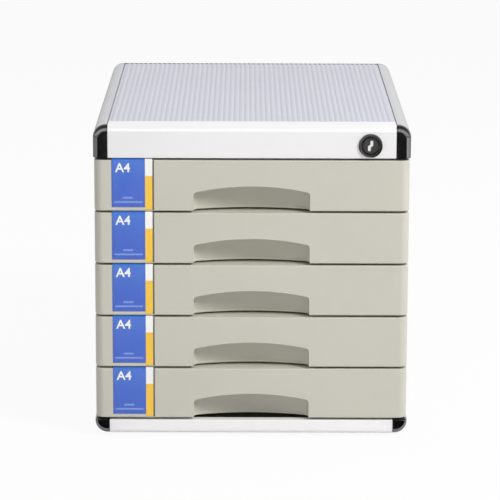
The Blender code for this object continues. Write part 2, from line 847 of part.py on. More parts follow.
def make_lock_plug(brass):
    """Turning plug with a jogged keyway in front and a square tang behind."""
    face = front_y - lock_proud + lock_step
    head_end = front_y + plug_head_depth
    body_end = front_y + barrel_length
    profile = [(plug_radius, face), (plug_radius, head_end), (plug_body_radius, head_end),
               (plug_body_radius, body_end)]
    plug = add_object("lock_plug", turned("lock_plug", profile, lock_x, lock_z, round_steps), brass)
    half = tang_width / 2
    join(plug, block("tang", (lock_x - half, body_end - cut_overrun, lock_z - half),
                     (lock_x + half, body_end + seat_gap + crank_thickness, lock_z + half)))
    h = key_slot_height / 2
    w = key_slot_width / 2
    j = key_slot_jog / 2
    keyway = [(-j - w, 0), (-j - w, -h), (w - j, -h), (w - j, -j), (w + j, 0), (w + j, h), (j - w, h),
              (j - w, j)]
    keyway = [(lock_x + u, lock_z + v) for u, v in keyway]
    cut(plug, prism("keyway", keyway, "Y", face - cut_overrun, face + key_slot_depth))
    screw_hole = circle(lock_x, lock_z, crank_screw_radius + seat_gap, small_round_steps)
    tang_end = body_end + seat_gap + crank_thickness
    cut(plug, prism("screw_hole", screw_hole, "Y", tang_end - crank_screw_length, tang_end + cut_overrun))


def make_lock_nut(steel):
    """Thin hexagon nut that clamps the housing to the band from behind."""
    near = front_y + band_wall + seat_gap
    corner = nut_flat_width / math.sqrt(3)
    outline = arc((lock_x, lock_z), corner, 0, 360 - 360 / nut_sides, nut_sides - 1)
    nut = add_object("lock_nut", prism("lock_nut", outline, "Y", near, near + nut_thickness), steel)
    bore = circle(lock_x, lock_z, barrel_radius + seat_gap)
    cut(nut, prism("nut_bore", bore, "Y", near - cut_overrun, near + nut_thickness + cut_overrun))


def make_crank(steel):
    """Crank on the plug's tang: a round hub and a smaller eye round the pin, joined by tangents."""
    near = front_y + barrel_length + seat_gap
    far = near + crank_thickness
    lean = crank_rest_degrees
    spread = math.degrees(math.acos((crank_hub_radius - crank_eye_radius) / crank_radius))
    outline = (arc((pin_rest_x, pin_rest_z), crank_eye_radius, lean - spread, lean + spread)
               + arc((lock_x, lock_z), crank_hub_radius, lean + spread, 360 + lean - spread,
                     2 * corner_steps))
    crank = add_object("lock_crank", prism("lock_crank", outline, "Y", near, far), steel)
    pin = circle(pin_rest_x, pin_rest_z, crank_pin_radius, small_round_steps)
    join(crank, prism("pin", pin, "Y", (near + far) / 2, far + crank_pin_length))
    half = tang_width / 2 + seat_gap
    cut(crank, block("tang_hole", (lock_x - half, near - cut_overrun, lock_z - half),
                     (lock_x + half, far + cut_overrun, lock_z + half)))


def make_crank_screw(steel):
    """Pan-head screw that holds the crank on the tang."""
    head = front_y + barrel_length + seat_gap + crank_thickness + seat_gap
    top = head + crank_screw_head_height
    end = head - crank_screw_length + 2 * seat_gap
    profile = [(crank_screw_radius, end), (crank_screw_radius, head), (crank_screw_head, head),
               (crank_screw_head, (head + top) / 2), (crank_screw_radius, top)]
    mesh = turned("lock_crank_screw", profile, lock_x, lock_z, small_round_steps)
    add_object("lock_crank_screw", mesh, steel)


def make_lock_bar(steel):
    """Bent strip: an arm with the crank's slot, an upright, and a finger for each drawer."""
    low_z = lowest_front + finger_level - finger_height / 2
    high_z = pin_rest_z + arm_half_height
    arm_low = pin_rest_z - arm_half_height
    slot_low_x = pin_rest_x - crank_pin_radius - slot_clearance
    slot_high_x = lock_x + crank_radius + crank_pin_radius + slot_clearance
    arm_low_x = slot_low_x - arm_overhang
    upright = [(bar_inner_x, bar_y), (bar_outer_x, bar_y), (bar_outer_x, bar_y + bar_width),
               (bar_inner_x, bar_y + bar_width)]
    bar = add_object("lock_bar", prism("lock_bar", upright, "Z", low_z, high_z), steel)
    join(bar, block("arm", (arm_low_x, bar_y, arm_low),
                    ((bar_inner_x + bar_outer_x) / 2, bar_y + bar_thickness, high_z)))
    half_slot = crank_pin_radius + slot_clearance
    cut(bar, block("slot", (slot_low_x, bar_y - cut_overrun, pin_rest_z - half_slot),
                   (slot_high_x, bar_y + bar_thickness + cut_overrun, pin_rest_z + half_slot)))
    for i in range(drawer_count):
        level = lowest_front + i * drawer_pitch + finger_level
        join(bar, block("finger", (tray_half_width + finger_wall_gap, front_y + finger_y, level),
                        ((bar_inner_x + bar_outer_x) / 2, front_y + finger_y + finger_depth,
                         level + finger_height)))


def main():
    clear_scene()
    aluminium = finish("aluminium", silver, 0.35, 1.0)
    chrome = finish("chrome", silver, 0.08, 1.0)
    steel = finish("zinc_plated_steel", silver, 0.4, 1.0)
    make_rails(aluminium)
    make_front_bands(aluminium)
    make_corner_caps(chrome)
    make_top_panel(finish("ribbed_top", pale_grey, 0.35))
    make_base_panel(finish("base_plastic", greige, 0.5))
    make_back_panel(finish("back_plastic", dark_grey, 0.5))
    make_back_screws(steel)
    make_side_panels(finish("side_plastic", greige, 0.45))
    make_feet(finish("rubber", rubber_black, 0.8))
    make_drawers(finish("drawer_plastic", greige, 0.4), finish("label_card", label_blue, 0.5),
                 finish("clear_plastic", clear_white, 0.1, alpha=clear_alpha))
    make_lock_housing(chrome)
    make_lock_plug(finish("lock_plug_metal", silver, 0.3, 1.0))
    make_lock_nut(steel)
    make_crank(steel)
    make_crank_screw(steel)
    make_lock_bar(steel)


main()
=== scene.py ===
"""Looks of the lockable desktop file cabinet: fine surfaces, finishes, stage, lights and camera.

Metres, +Z up, the fronts face -Y.  A drawer's own places are measured from its front face's lower
left-to-right middle: across x, depth behind the front plane, and height above the lower edge.
"""

import math

import bmesh
import bpy
import numpy as np
from mathutils import Matrix, Vector


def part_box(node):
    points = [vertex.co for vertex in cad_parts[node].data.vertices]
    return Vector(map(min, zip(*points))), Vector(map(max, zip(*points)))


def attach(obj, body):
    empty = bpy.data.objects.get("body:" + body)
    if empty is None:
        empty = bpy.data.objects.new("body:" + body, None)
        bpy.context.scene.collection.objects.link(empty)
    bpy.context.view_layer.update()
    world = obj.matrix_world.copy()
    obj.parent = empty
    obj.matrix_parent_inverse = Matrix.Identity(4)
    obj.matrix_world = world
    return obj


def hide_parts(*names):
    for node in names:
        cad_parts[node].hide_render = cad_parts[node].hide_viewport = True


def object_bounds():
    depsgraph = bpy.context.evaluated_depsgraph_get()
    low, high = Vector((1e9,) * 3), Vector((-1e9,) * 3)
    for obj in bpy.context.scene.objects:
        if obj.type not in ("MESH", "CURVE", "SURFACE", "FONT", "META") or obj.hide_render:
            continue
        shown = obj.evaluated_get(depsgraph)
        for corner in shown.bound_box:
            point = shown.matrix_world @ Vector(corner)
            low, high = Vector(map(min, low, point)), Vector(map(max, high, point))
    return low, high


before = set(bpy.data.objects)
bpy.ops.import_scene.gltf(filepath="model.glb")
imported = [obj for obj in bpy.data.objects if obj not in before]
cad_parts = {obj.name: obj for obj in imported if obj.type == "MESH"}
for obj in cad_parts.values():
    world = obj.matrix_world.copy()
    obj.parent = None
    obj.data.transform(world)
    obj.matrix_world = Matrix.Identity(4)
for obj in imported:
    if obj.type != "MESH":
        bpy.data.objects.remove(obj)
cad_low, cad_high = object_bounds()

# Sizes read from the frame
band_low, band_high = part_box("front_band_top")
foot_band_low, foot_band_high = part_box("front_band_bottom")
rail_low, rail_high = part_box("top_rail_right")
foot_rail_low, foot_rail_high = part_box("bottom_rail_right")
cap_low, cap_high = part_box("corner_cap_top_right")
foot_cap_low, foot_cap_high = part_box("corner_cap_bottom_right")
panel_low, panel_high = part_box("top_panel")
back_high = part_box("back_panel")[1]
lock_low, lock_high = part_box("lock_housing")
front_low, front_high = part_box("drawer_1_front")
tray_low, tray_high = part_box("drawer_1_tray")
card_low, card_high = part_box("drawer_1_label_card")
cover_low, cover_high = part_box("drawer_1_label_cover")
front_y = band_low.y
case_high = rail_high.z
case_low = foot_rail_low.z
half_width = rail_high.x
front_height = front_high.z - front_low.z
front_half = front_high.x
lock_x = (lock_low.x + lock_high.x) / 2
lock_z = (lock_low.z + lock_high.z) / 2
sides = ((-1, "left"), (1, "right"))
levels = ((1, "top", case_high), (-1, "bottom", case_low))

# Gaps between pieces
seat_gap = 0.0003
cut_overrun = 0.004
merge_distance = 0.000001
front_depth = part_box("side_panel_left")[0].y - front_y - seat_gap
drawer_count = 5

# Extruded frame
rail_radius = 0.012
rail_wall = 0.0016
rail_ledge_drop = 0.0024
rail_ledge = 0.006
rail_flange = 0.0132
port_radius = 0.0031
screw_radius = 0.0016
band_wall = 0.0016
band_top_radius = 0.0065
band_foot_radius = 0.0045
band_edge_radius = 0.001
band_return = 0.008
cap_edge_radius = 0.006
cap_wall = 0.002
cap_small_radius = 0.0004

# Panels
rib_pitch = 0.0051
rib_height = 0.0005
rib_crest_share = 0.3
rib_foot_share = 0.94
back_thickness = 0.0025
back_rim_depth = 0.006
back_rim_wall = 0.002
back_rim_radius = 0.020
back_edge_radius = 0.0006

# Screws and feet
screw_head_radius = 0.0034
screw_length = 0.014
screw_recess_half = 0.0022
screw_recess_width = 0.0008
screw_recess_depth = 0.0011
screw_tip_share = 0.6
screw_crown_share = 0.35
screw_crown_degrees = 80
screw_crown_points = 7
bore_start_degrees = 7
hole_start_degrees = 4
foot_radius = 0.009
foot_edge_radius = 0.0012

# Drawer front
front_wall = 0.0022
front_corner_radius = 0.008
front_edge_radius = 0.0012
inner_edge_radius = 0.0006
pull_half = 0.05545
pull_arch_middle = 0.0237
pull_arch_end = 0.0175
pull_depth_middle = 0.0205
pull_depth_end = 0.0105
pull_end_radius = 0.005
pull_corner_radius = 0.003
pull_roof_depth = 0.006
pull_roof_drop = 0.004
pull_lip_radius = 0.0005
pull_bead_height = 0.0014
pull_bead_slope = 0.0012
pull_bead_depth = 0.0008
plain_level = 0.0275

# Label pocket
label_left = 0.0169
label_blue_width = 0.0316
label_strip_width = 0.007
label_side_gap = 0.0016
label_lip = 0.0033
label_strip_lip = 0.0008
label_pocket_depth = 0.0017
label_pocket_edge = 0.0003
label_slot_depth = 0.0036
label_slot_wall = 0.0012
label_foot_radius = 0.0005
zone_blend = 0.0005
card_corner_radii = (0.0006, 0, 0.0004, 0.0004, 0.0006, 0.0006)
cover_corner_radii = (0.0006, 0, 0.0004, 0.0004, 0.0004, 0.0004)
letters_left = 0.0201
letters_width = 0.0143
letters_top = 0.0462
letters_height = 0.0089
letters_thickness = 0.00012
letters_gap = 0.00002

# Tray
tray_wall = 0.002
tray_floor = 0.002
tray_corner_radius = 0.006
tray_bottom_radius = 0.002
tray_floor_radius = 0.003
tray_rim_radius = 0.0007
tray_half_width = 0.1385
flange_level = 0.0289
flange_thickness = 0.0022
flange_start = 0.053
flange_radius = 0.0008
window_radius = 0.0002
hook_corner_radii = (0, 0, 0, 0.0002, 0.0003, 0.0003)
hook_spacing = 0.126
hook_width = 0.010
hook_thickness = 0.002
hook_barb = 0.001
hook_reach = 0.0048

# Lock
lock_face_radius = 0.0114
lock_ring_radius = 0.0086
lock_bevel = 0.0012
lock_step = 0.0007
barrel_radius = 0.0088
plug_radius = 0.0076
plug_body_radius = 0.0060
plug_head_depth = 0.003
key_slot_height = 0.0105
key_slot_width = 0.0030
key_slot_jog = 0.0023
shutter_depth = 0.0006
shutter_share = 0.96
key_slot_depth = 0.006
tang_half = 0.0035
lock_edge_radius = 0.0003

# How finely round forms are divided
corner_steps = 12
fillet_steps = 5
turn_steps = 96
small_steps = 3
bevel_steps = 6
tray_steps = 8
ring_count = 24
foot_count = 64
screw_steps = 48
sharp_edge_degrees = 32
face_sharp_degrees = 28
rib_flank_points = 7
back_edge_steps = 4
side_cuts = 5
pull_cuts = 61
bead_points = 5
quarter_turn = np.radians(np.linspace(0, 90, fillet_steps + 1))

# Where the rows of points lie between two levels of the pull
above_pull_shares = (0, 0.5)
back_wall_shares = (0.4, 0.8)
below_bead_shares = (0.4, 0)


def from_srgb(red, green, blue):
    """Scene-linear colour of a picture colour given in 0 to 255."""
    values = np.array([red, green, blue], float) / 255
    linear = np.where(values <= 0.04045, values / 12.92, ((values + 0.055) / 1.055) ** 2.4)
    return (*linear.tolist(), 1.0)


# Outlines


def arc(centre, radius, start, end, steps=corner_steps):
    """Points on a circle: centre plus radius times the cosine and sine of evenly spread angles."""
    angle = np.radians(np.linspace(start, end, steps + 1))
    return np.stack([centre[0] + radius * np.cos(angle), centre[1] + radius * np.sin(angle)], 1)


def circle(centre, radius, count, first=0):
    """Evenly spread points of a full circle, from a first angle in degrees."""
    return arc(centre, radius, first, first + 360 - 360 / count, count - 1)


def rounded_outline(corners, radii, steps=fillet_steps):
    """A polygon with round corners.

    The arc's centre lies on the corner's bisector, and its points turn evenly from one tangent
    point to the other: the two radius vectors are mixed by sin((1 - t) a) and sin(t a), over
    sin(a), where a is the angle that the arc sweeps.
    """
    corners = np.array(corners, float)
    parts = []
    neighbours = zip(corners, np.roll(corners, 1, 0), np.roll(corners, -1, 0), radii)
    for corner, before, after, radius in neighbours:
        if radius == 0:
            parts.append(corner[None])
            continue
        back = (before - corner) / np.linalg.norm(before - corner)
        on = (after - corner) / np.linalg.norm(after - corner)
        half = math.acos(np.clip(back @ on, -1, 1)) / 2
        bisector = (back + on) / np.linalg.norm(back + on)
        centre = corner + bisector * radius / math.sin(half)
        first = corner + back * radius / math.tan(half) - centre
        last = corner + on * radius / math.tan(half) - centre
        sweep = math.pi - 2 * half
        t = np.linspace(0, 1, steps + 1)[:, None]
        blended = first * np.sin((1 - t) * sweep) + last * np.sin(t * sweep)
        parts.append(centre + blended / math.sin(sweep))
    return np.concatenate(parts)


def rounded_rectangle(low_u, low_v, high_u, high_v, radius, steps=corner_steps):
    """A rectangle between two corners with the same round corner four times."""
    corners = [(high_u, low_v), (high_u, high_v), (low_u, high_v), (low_u, low_v)]
    return rounded_outline(corners, [radius] * 4, steps)


def place(outline, axis, along):
    """Sets a flat outline in space, at a distance along an axis."""
    along = np.full(len(outline), along)
    u, v = outline[:, 0], outline[:, 1]
    order = {"X": (along, u, v), "Y": (u, along, v), "Z": (u, v, along)}[axis]
    return np.stack(order, 1)


# Meshes


def grid_faces(rows, columns, wrap_rows=False, wrap_columns=False):
    """Quads between neighbouring points of a grid that is stored row by row."""
    i = np.arange(rows if wrap_rows else rows - 1)[:, None]
    j = np.arange(columns if wrap_columns else columns - 1)[None, :]
    next_i = (i + 1) % rows
    next_j = (j + 1) % columns
    corners = [i * columns + j, i * columns + next_j, next_i * columns + next_j, next_i * columns + j]
    return np.stack(np.broadcast_arrays(*corners), -1).reshape(-1, 4)


def clean_mesh(name, points, faces, sharp_degrees=sharp_edge_degrees):
    """A closed mesh with double points merged, empty faces gone and its faces pointing out."""
    mesh = bpy.data.meshes.new(name)
    mesh.from_pydata(points.tolist(), [], faces)
    bm = bmesh.new()
    bm.from_mesh(mesh)
    bmesh.ops.remove_doubles(bm, verts=bm.verts, dist=merge_distance)
    bmesh.ops.dissolve_degenerate(bm, dist=merge_distance, edges=bm.edges)
    bmesh.ops.recalc_face_normals(bm, faces=bm.faces)
    bm.to_mesh(mesh)
    bm.free()
    mesh.shade_smooth()
    mesh.set_sharp_from_angle(angle=math.radians(sharp_degrees))
    return mesh


def lofted(name, loops, ring=False):
    """Closed loops of equal count joined in turn, with the ends filled or joined in a ring."""
    loops = np.array(loops)
    rows, columns = loops.shape[:2]
    faces = grid_faces(rows, columns, ring, True).tolist()
    if not ring:
        faces.append(list(range(columns)))
        faces.append(list(range((rows - 1) * columns, rows * columns)))
    return clean_mesh(name, loops.reshape(-1, 3), faces)


def extruded(name, outline, axis, low, high):
    """A flat outline carried straight along an axis."""
    return lofted(name, [place(outline, axis, low), place(outline, axis, high)])


def turned(name, profile, centre, steps=turn_steps, ring=False):
    """A profile of radius and y carried round an axis along Y, at a centre in x and z."""
    angle = np.linspace(0, 2 * math.pi, steps, endpoint=False)
    profile = np.array(profile)
    radius = profile[:, 0][:, None]
    along = np.broadcast_to(profile[:, 1][:, None], (len(profile), steps))
    loops = np.stack([centre[0] + radius * np.cos(angle), along, centre[1] + radius * np.sin(angle)], -1)
    return lofted(name, loops, ring)


def box_mesh(name, low, high, radius):
    """A block between two corners, its upright edges rounded."""
    outline = rounded_rectangle(low[0], low[1], high[0], high[1], radius, fillet_steps)
    return extruded(name, outline, "Z", low[2], high[2])


def added(name, data):
    """A new object in the scene that holds a mesh, a text, a light or a camera."""
    obj = bpy.data.objects.new(name, data)
    bpy.context.scene.collection.objects.link(obj)
    return obj


def final_mesh(obj):
    """The mesh of an object once its modifiers are worked out.  The object itself goes."""
    bpy.context.view_layer.update()
    graph = bpy.context.evaluated_depsgraph_get()
    mesh = bpy.data.meshes.new_from_object(obj.evaluated_get(graph))
    bpy.data.objects.remove(obj, do_unlink=True)
    return mesh


def vertex_places(mesh):
    """The places of a mesh's vertices, a row each."""
    places = np.zeros(len(mesh.vertices) * 3)
    mesh.vertices.foreach_get("co", places)
    return places.reshape(-1, 3)


def combined(mesh, tools, operation):
    """A mesh with other meshes cut out of it or joined on, worked out once and kept plain."""
    worked = added("worked", mesh)
    helpers = [added("helper", tool) for tool in tools]
    for helper in helpers:
        step = worked.modifiers.new("step", "BOOLEAN")
        step.operation = operation
        step.solver = "EXACT"
        step.object = helper
    result = final_mesh(worked)
    for helper in helpers:
        bpy.data.objects.remove(helper, do_unlink=True)
    result.shade_smooth()
    result.set_sharp_from_angle(angle=math.radians(sharp_edge_degrees))
    return result


def moved_copy(mesh, name, offset):
    """A mesh's copy under a new name, shifted."""
    copy = mesh.copy()
    copy.name = name
    copy.transform(Matrix.Translation(offset))
    return copy


def piece(name, mesh, material, body, nodes=(), weighted=True):
    """A shown piece: it rides on a body, takes a finish and stands for CAD nodes."""
    obj = added(name, mesh)
    mesh.materials.clear()
    mesh.materials.append(material)
    if weighted:
        step = obj.modifiers.new("even_shading", "WEIGHTED_NORMAL")
        step.keep_sharp = True
    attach(obj, body)
    if nodes:
        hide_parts(*nodes)
    return obj


# Shader groups

# Scale ratios and shares of the finer or slower noises, and how far they change the roughness
cloud_scale, cloud_share = 9.0, 0.35
grain_noise_scale, grain_noise_share = 1.7, 0.5
slow_line_scale, slow_line_share = 0.12, 0.4
grain_spread = 0.06
line_spread = 0.08


def new_group(name, inputs, outputs):
    """An empty node group with named sockets, its input and output nodes and a node maker."""
    group = bpy.data.node_groups.new(name, "ShaderNodeTree")
    for label, kind, value in inputs:
        socket = group.interface.new_socket(name=label, in_out="INPUT", socket_type=kind)
        socket.default_value = value
    for label, kind in outputs:
        group.interface.new_socket(name=label, in_out="OUTPUT", socket_type=kind)
    return group, group.nodes.new("NodeGroupInput"), group.nodes.new("NodeGroupOutput")


def noise(tree, vector, scale, detail, rough=0.5):
    """A noise over a vector, whose scale is a number or another node's output."""
    node = tree.nodes.new("ShaderNodeTexNoise")
    node.inputs["Detail"].default_value = detail
    node.inputs["Roughness"].default_value = rough
    if isinstance(scale, (int, float)):
        node.inputs["Scale"].default_value = scale
    else:
        tree.links.new(scale, node.inputs["Scale"])
    tree.links.new(vector, node.inputs["Vector"])
    return node.outputs["Fac"]


def math_node(tree, operation, first, second=None, third=None, clamp=False):
    """One operation on numbers or on other nodes' outputs."""
    node = tree.nodes.new("ShaderNodeMath")
    node.operation = operation
    node.use_clamp = clamp
    for socket, value in zip(node.inputs, (first, second, third)):
        if value is None:
            continue
        if isinstance(value, (int, float)):
            socket.default_value = value
        else:
            tree.links.new(value, socket)
    return node.outputs[0]


def weighted_mean(tree, first, second, share):
    """The first value times its share, and the second times the rest."""
    rest = math_node(tree, "MULTIPLY", second, 1 - share)
    return math_node(tree, "MULTIPLY_ADD", first, share, rest)


def make_tone_group():
    """Slow change of tone over a surface: two noises, patchy and cloudy, mix two colours."""
    group, given, result = new_group(
        "surface_tone",
        [("Vector", "NodeSocketVector", (0, 0, 0)), ("Colour", "NodeSocketColor", (1, 1, 1, 1)),
         ("Second Colour", "NodeSocketColor", (1, 1, 1, 1)), ("Patch Scale", "NodeSocketFloat", 12.0)],
        [("Colour", "NodeSocketColor"), ("Mask", "NodeSocketFloat")])
    vector = given.outputs["Vector"]
    broad = noise(group, vector, given.outputs["Patch Scale"], 2.0)
    fine_scale = math_node(group, "MULTIPLY", given.outputs["Patch Scale"], cloud_scale)
    fine = noise(group, vector, fine_scale, 3.0)
    mask = weighted_mean(group, fine, broad, cloud_share)
    mix = group.nodes.new("ShaderNodeMix")
    mix.data_type = "RGBA"
    group.links.new(mask, mix.inputs["Factor"])
    group.links.new(given.outputs["Colour"], mix.inputs["A"])
    group.links.new(given.outputs["Second Colour"], mix.inputs["B"])
    group.links.new(mix.outputs["Result"], result.inputs["Colour"])
    group.links.new(mask, result.inputs["Mask"])
    return group


def make_grain_group():
    """Fine moulding grain: cell distances and a finer noise, given as a height and a mask."""
    group, given, result = new_group(
        "mould_grain",
        [("Vector", "NodeSocketVector", (0, 0, 0)), ("Grain Scale", "NodeSocketFloat", 1500.0)],
        [("Height", "NodeSocketFloat"), ("Mask", "NodeSocketFloat")])
    cells = group.nodes.new("ShaderNodeTexVoronoi")
    cells.feature = "SMOOTH_F1"
    group.links.new(given.outputs["Vector"], cells.inputs["Vector"])
    group.links.new(given.outputs["Grain Scale"], cells.inputs["Scale"])
    fine_scale = math_node(group, "MULTIPLY", given.outputs["Grain Scale"], grain_noise_scale)
    fine = noise(group, given.outputs["Vector"], fine_scale, 2.0)
    height = weighted_mean(group, fine, cells.outputs["Distance"], grain_noise_share)
    group.links.new(height, result.inputs["Height"])
    group.links.new(fine, result.inputs["Mask"])
    return group


def make_brushed_group():
    """Drawn or brushed lines: a noise stretched along one axis, with a slower one across it."""
    group, given, result = new_group(
        "brushed_lines",
        [("Vector", "NodeSocketVector", (0, 0, 0)), ("Line Scale", "NodeSocketFloat", 900.0)],
        [("Height", "NodeSocketFloat"), ("Mask", "NodeSocketFloat")])
    lines = noise(group, given.outputs["Vector"], given.outputs["Line Scale"], 3.0, 0.65)
    slow_scale = math_node(group, "MULTIPLY", given.outputs["Line Scale"], slow_line_scale)
    slow = noise(group, given.outputs["Vector"], slow_scale, 2.0)
    mask = weighted_mean(group, slow, lines, slow_line_share)
    group.links.new(lines, result.inputs["Height"])
    group.links.new(mask, result.inputs["Mask"])
    return group


tone_group = make_tone_group()
grain_group = make_grain_group()
brushed_group = make_brushed_group()


# Materials


def placed_group(tree, group, vector, **values):
    """A group's node, fed with a vector and with values for its named sockets."""
    node = tree.nodes.new("ShaderNodeGroup")
    node.node_tree = group
    tree.links.new(vector, node.inputs["Vector"])
    for label, value in values.items():
        node.inputs[label.replace("_", " ").title()].default_value = value
    return node


def ranged(tree, value, low, high):
    """A 0 to 1 mask spread between two values."""
    node = tree.nodes.new("ShaderNodeMapRange")
    node.inputs["To Min"].default_value = low
    node.inputs["To Max"].default_value = high
    tree.links.new(value, node.inputs["Value"])
    return node.outputs["Result"]


def new_material(name, roughness, metallic=0.0):
    """A new finish, with its node tree, its main shader and its object coordinates."""
    material = bpy.data.materials.new(name)
    material.use_nodes = True
    tree = material.node_tree
    shader = tree.nodes["Principled BSDF"]
    shader.inputs["Roughness"].default_value = roughness
    shader.inputs["Metallic"].default_value = metallic
    coordinates = tree.nodes.new("ShaderNodeTexCoord")
    return material, tree, shader, coordinates.outputs["Object"]


def add_bump(tree, shader, height, strength, distance):
    """Fine relief on a shader's surface, from a height and a depth in metres."""
    bump = tree.nodes.new("ShaderNodeBump")
    bump.inputs["Strength"].default_value = strength
    bump.inputs["Distance"].default_value = distance
    tree.links.new(height, bump.inputs["Height"])
    tree.links.new(bump.outputs["Normal"], shader.inputs["Normal"])


def moulded_plastic(name, colour, second, roughness, grain_scale=1500.0, grain_depth=0.00004,
                    patch_scale=9.0, strength=0.25):
    """Satin moulded plastic: slow change of tone, fine grain, roughness that follows the grain.

    Both colours are picture colours, 0 to 255.
    """
    material, tree, shader, vector = new_material(name, roughness)
    tone = placed_group(tree, tone_group, vector, colour=from_srgb(*colour),
                        second_colour=from_srgb(*second), patch_scale=patch_scale)
    grain = placed_group(tree, grain_group, vector, grain_scale=grain_scale)
    tree.links.new(tone.outputs["Colour"], shader.inputs["Base Color"])
    uneven = ranged(tree, grain.outputs["Mask"], roughness - grain_spread, roughness + grain_spread)
    tree.links.new(uneven, shader.inputs["Roughness"])
    add_bump(tree, shader, grain.outputs["Height"], strength, grain_depth)
    return material


def satin_metal(name, colour, second, roughness, metallic, stretch, line_scale=900.0,
                line_depth=0.000015, patch_scale=7.0, strength=0.2):
    """Brushed or anodised metal: lines drawn out along the axis whose stretch is small.

    Both colours are picture colours, 0 to 255.
    """
    material, tree, shader, vector = new_material(name, roughness, metallic)
    tone = placed_group(tree, tone_group, vector, colour=from_srgb(*colour),
                        second_colour=from_srgb(*second), patch_scale=patch_scale)
    mapping = tree.nodes.new("ShaderNodeMapping")
    mapping.inputs["Scale"].default_value = stretch
    tree.links.new(vector, mapping.inputs["Vector"])
    lines = placed_group(tree, brushed_group, mapping.outputs["Vector"], line_scale=line_scale)
    tree.links.new(tone.outputs["Colour"], shader.inputs["Base Color"])
    uneven = ranged(tree, lines.outputs["Mask"], roughness - line_spread, roughness + line_spread)
    tree.links.new(uneven, shader.inputs["Roughness"])
    add_bump(tree, shader, lines.outputs["Height"], strength, line_depth)
    return material


def printed_card():
    """Label card: a blue field, and a strip that is white above and yellow below.

    The card's UV map runs 0 to 1 over its box.  The strip starts at the blue field's share of the
    width, and its yellow part ends at a share of the height.
    """
    blue = from_srgb(20, 84, 200)
    pale_blue = from_srgb(44, 112, 212)
    white = from_srgb(248, 247, 244)
    yellow = from_srgb(250, 200, 0)
    bar_blue = from_srgb(170, 198, 240)
    blue_share = label_blue_width / (label_blue_width + label_strip_width)
    yellow_share = 0.66
    bar_shares = ((0.26, 0.53, 0.208, 0.258), (0.05, 0.76, 0.125, 0.172))
    bar_edge_share = 0.02
    bar_strength_share = 0.55
    fade_power = 2.2
    rough_low, rough_high = 0.36, 0.5
    material, tree, shader, vector = new_material("printed_card", 0.42)
    uv = tree.nodes.new("ShaderNodeUVMap")
    uv.uv_map = "label"
    split = tree.nodes.new("ShaderNodeSeparateXYZ")
    tree.links.new(uv.outputs["UV"], split.inputs["Vector"])
    across, up = split.outputs["X"], split.outputs["Y"]

    def band(value, low, high):
        """1 between two shares, with soft edges."""
        past_low = math_node(tree, "SUBTRACT", value, low)
        short_of_high = math_node(tree, "SUBTRACT", high, value)
        rise = math_node(tree, "DIVIDE", past_low, bar_edge_share, clamp=True)
        fall = math_node(tree, "DIVIDE", short_of_high, bar_edge_share, clamp=True)
        return math_node(tree, "MULTIPLY", rise, fall)

    def mixed(factor, first, second):
        """A colour between two, each a colour or another node's output."""
        mix = tree.nodes.new("ShaderNodeMix")
        mix.data_type = "RGBA"
        for socket, value in ((mix.inputs["A"], first), (mix.inputs["B"], second)):
            if isinstance(value, tuple):
                socket.default_value = value
            else:
                tree.links.new(value, socket)
        tree.links.new(factor, mix.inputs["Factor"])
        return mix.outputs["Result"]

    fade = math_node(tree, "POWER", up, fade_power, clamp=True)
    field = mixed(fade, blue, pale_blue)
    bars = [math_node(tree, "MULTIPLY", band(across, left, right), band(up, low, high))
            for left, right, low, high in bar_shares]
    bars = math_node(tree, "MULTIPLY", math_node(tree, "MAXIMUM", *bars), bar_strength_share)
    field = mixed(bars, field, bar_blue)
    strip = mixed(math_node(tree, "LESS_THAN", up, yellow_share), white, yellow)
    colour = mixed(math_node(tree, "GREATER_THAN", across, blue_share), field, strip)
    tree.links.new(colour, shader.inputs["Base Color"])
    fibre = placed_group(tree, grain_group, vector, grain_scale=2600.0)
    uneven = ranged(tree, fibre.outputs["Mask"], rough_low, rough_high)
    tree.links.new(uneven, shader.inputs["Roughness"])
    add_bump(tree, shader, fibre.outputs["Height"], 0.08, 0.00002)
    return material


def clear_sheet():
    """Thin clear cover: mostly see-through, with a gloss and a faint uneven haze."""
    material, tree, shader, vector = new_material("clear_cover", 0.08)
    shader.inputs["Base Color"].default_value = (0.95, 0.97, 1.0, 1.0)
    haze = noise(tree, vector, 60.0, 3.0)
    tree.links.new(ranged(tree, haze, 0.02, 0.05), shader.inputs["Alpha"])
    tree.links.new(ranged(tree, haze, 0.05, 0.14), shader.inputs["Roughness"])
    return material


drawer_plastic = moulded_plastic("drawer_plastic", (196, 193, 180), (204, 201, 189), 0.42)
tray_plastic = moulded_plastic("tray_plastic", (190, 187, 174), (198, 195, 183), 0.46)
side_plastic = moulded_plastic("side_plastic", (188, 186, 174), (196, 194, 183), 0.5,
                               grain_scale=1100.0, grain_depth=0.00006)
base_plastic = moulded_plastic("base_plastic", (176, 174, 164), (186, 184, 174), 0.55)
# The back plate's dark colour is painted shade: it stands in for the shaded rear edge that shows between
# the top's ribs.
back_plastic = moulded_plastic("back_plastic", (52, 52, 54), (62, 62, 64), 0.5,
                               grain_scale=900.0, grain_depth=0.00008)
rubber = moulded_plastic("foot_rubber", (34, 34, 35), (46, 46, 46), 0.8,
                         grain_scale=1800.0)
rail_metal = satin_metal("rail_aluminium", (214, 214, 218), (226, 226, 229), 0.34, 0.55,
                         (1.0, 0.03, 1.0))
# The bands' aluminium is near white and mostly unmetallic. Its brightness is partly the pale metal and
# partly a painted reflection, standing in for the bright sheen it would reflect.
band_metal_painted_sheen = satin_metal("band_aluminium", (249, 247, 247), (253, 251, 251), 0.34, 0.25,
                         (0.03, 1.0, 1.0))
panel_metal = satin_metal("ribbed_top", (212, 212, 222), (222, 222, 231), 0.5, 0.3,
                          (1.0, 0.04, 1.0))
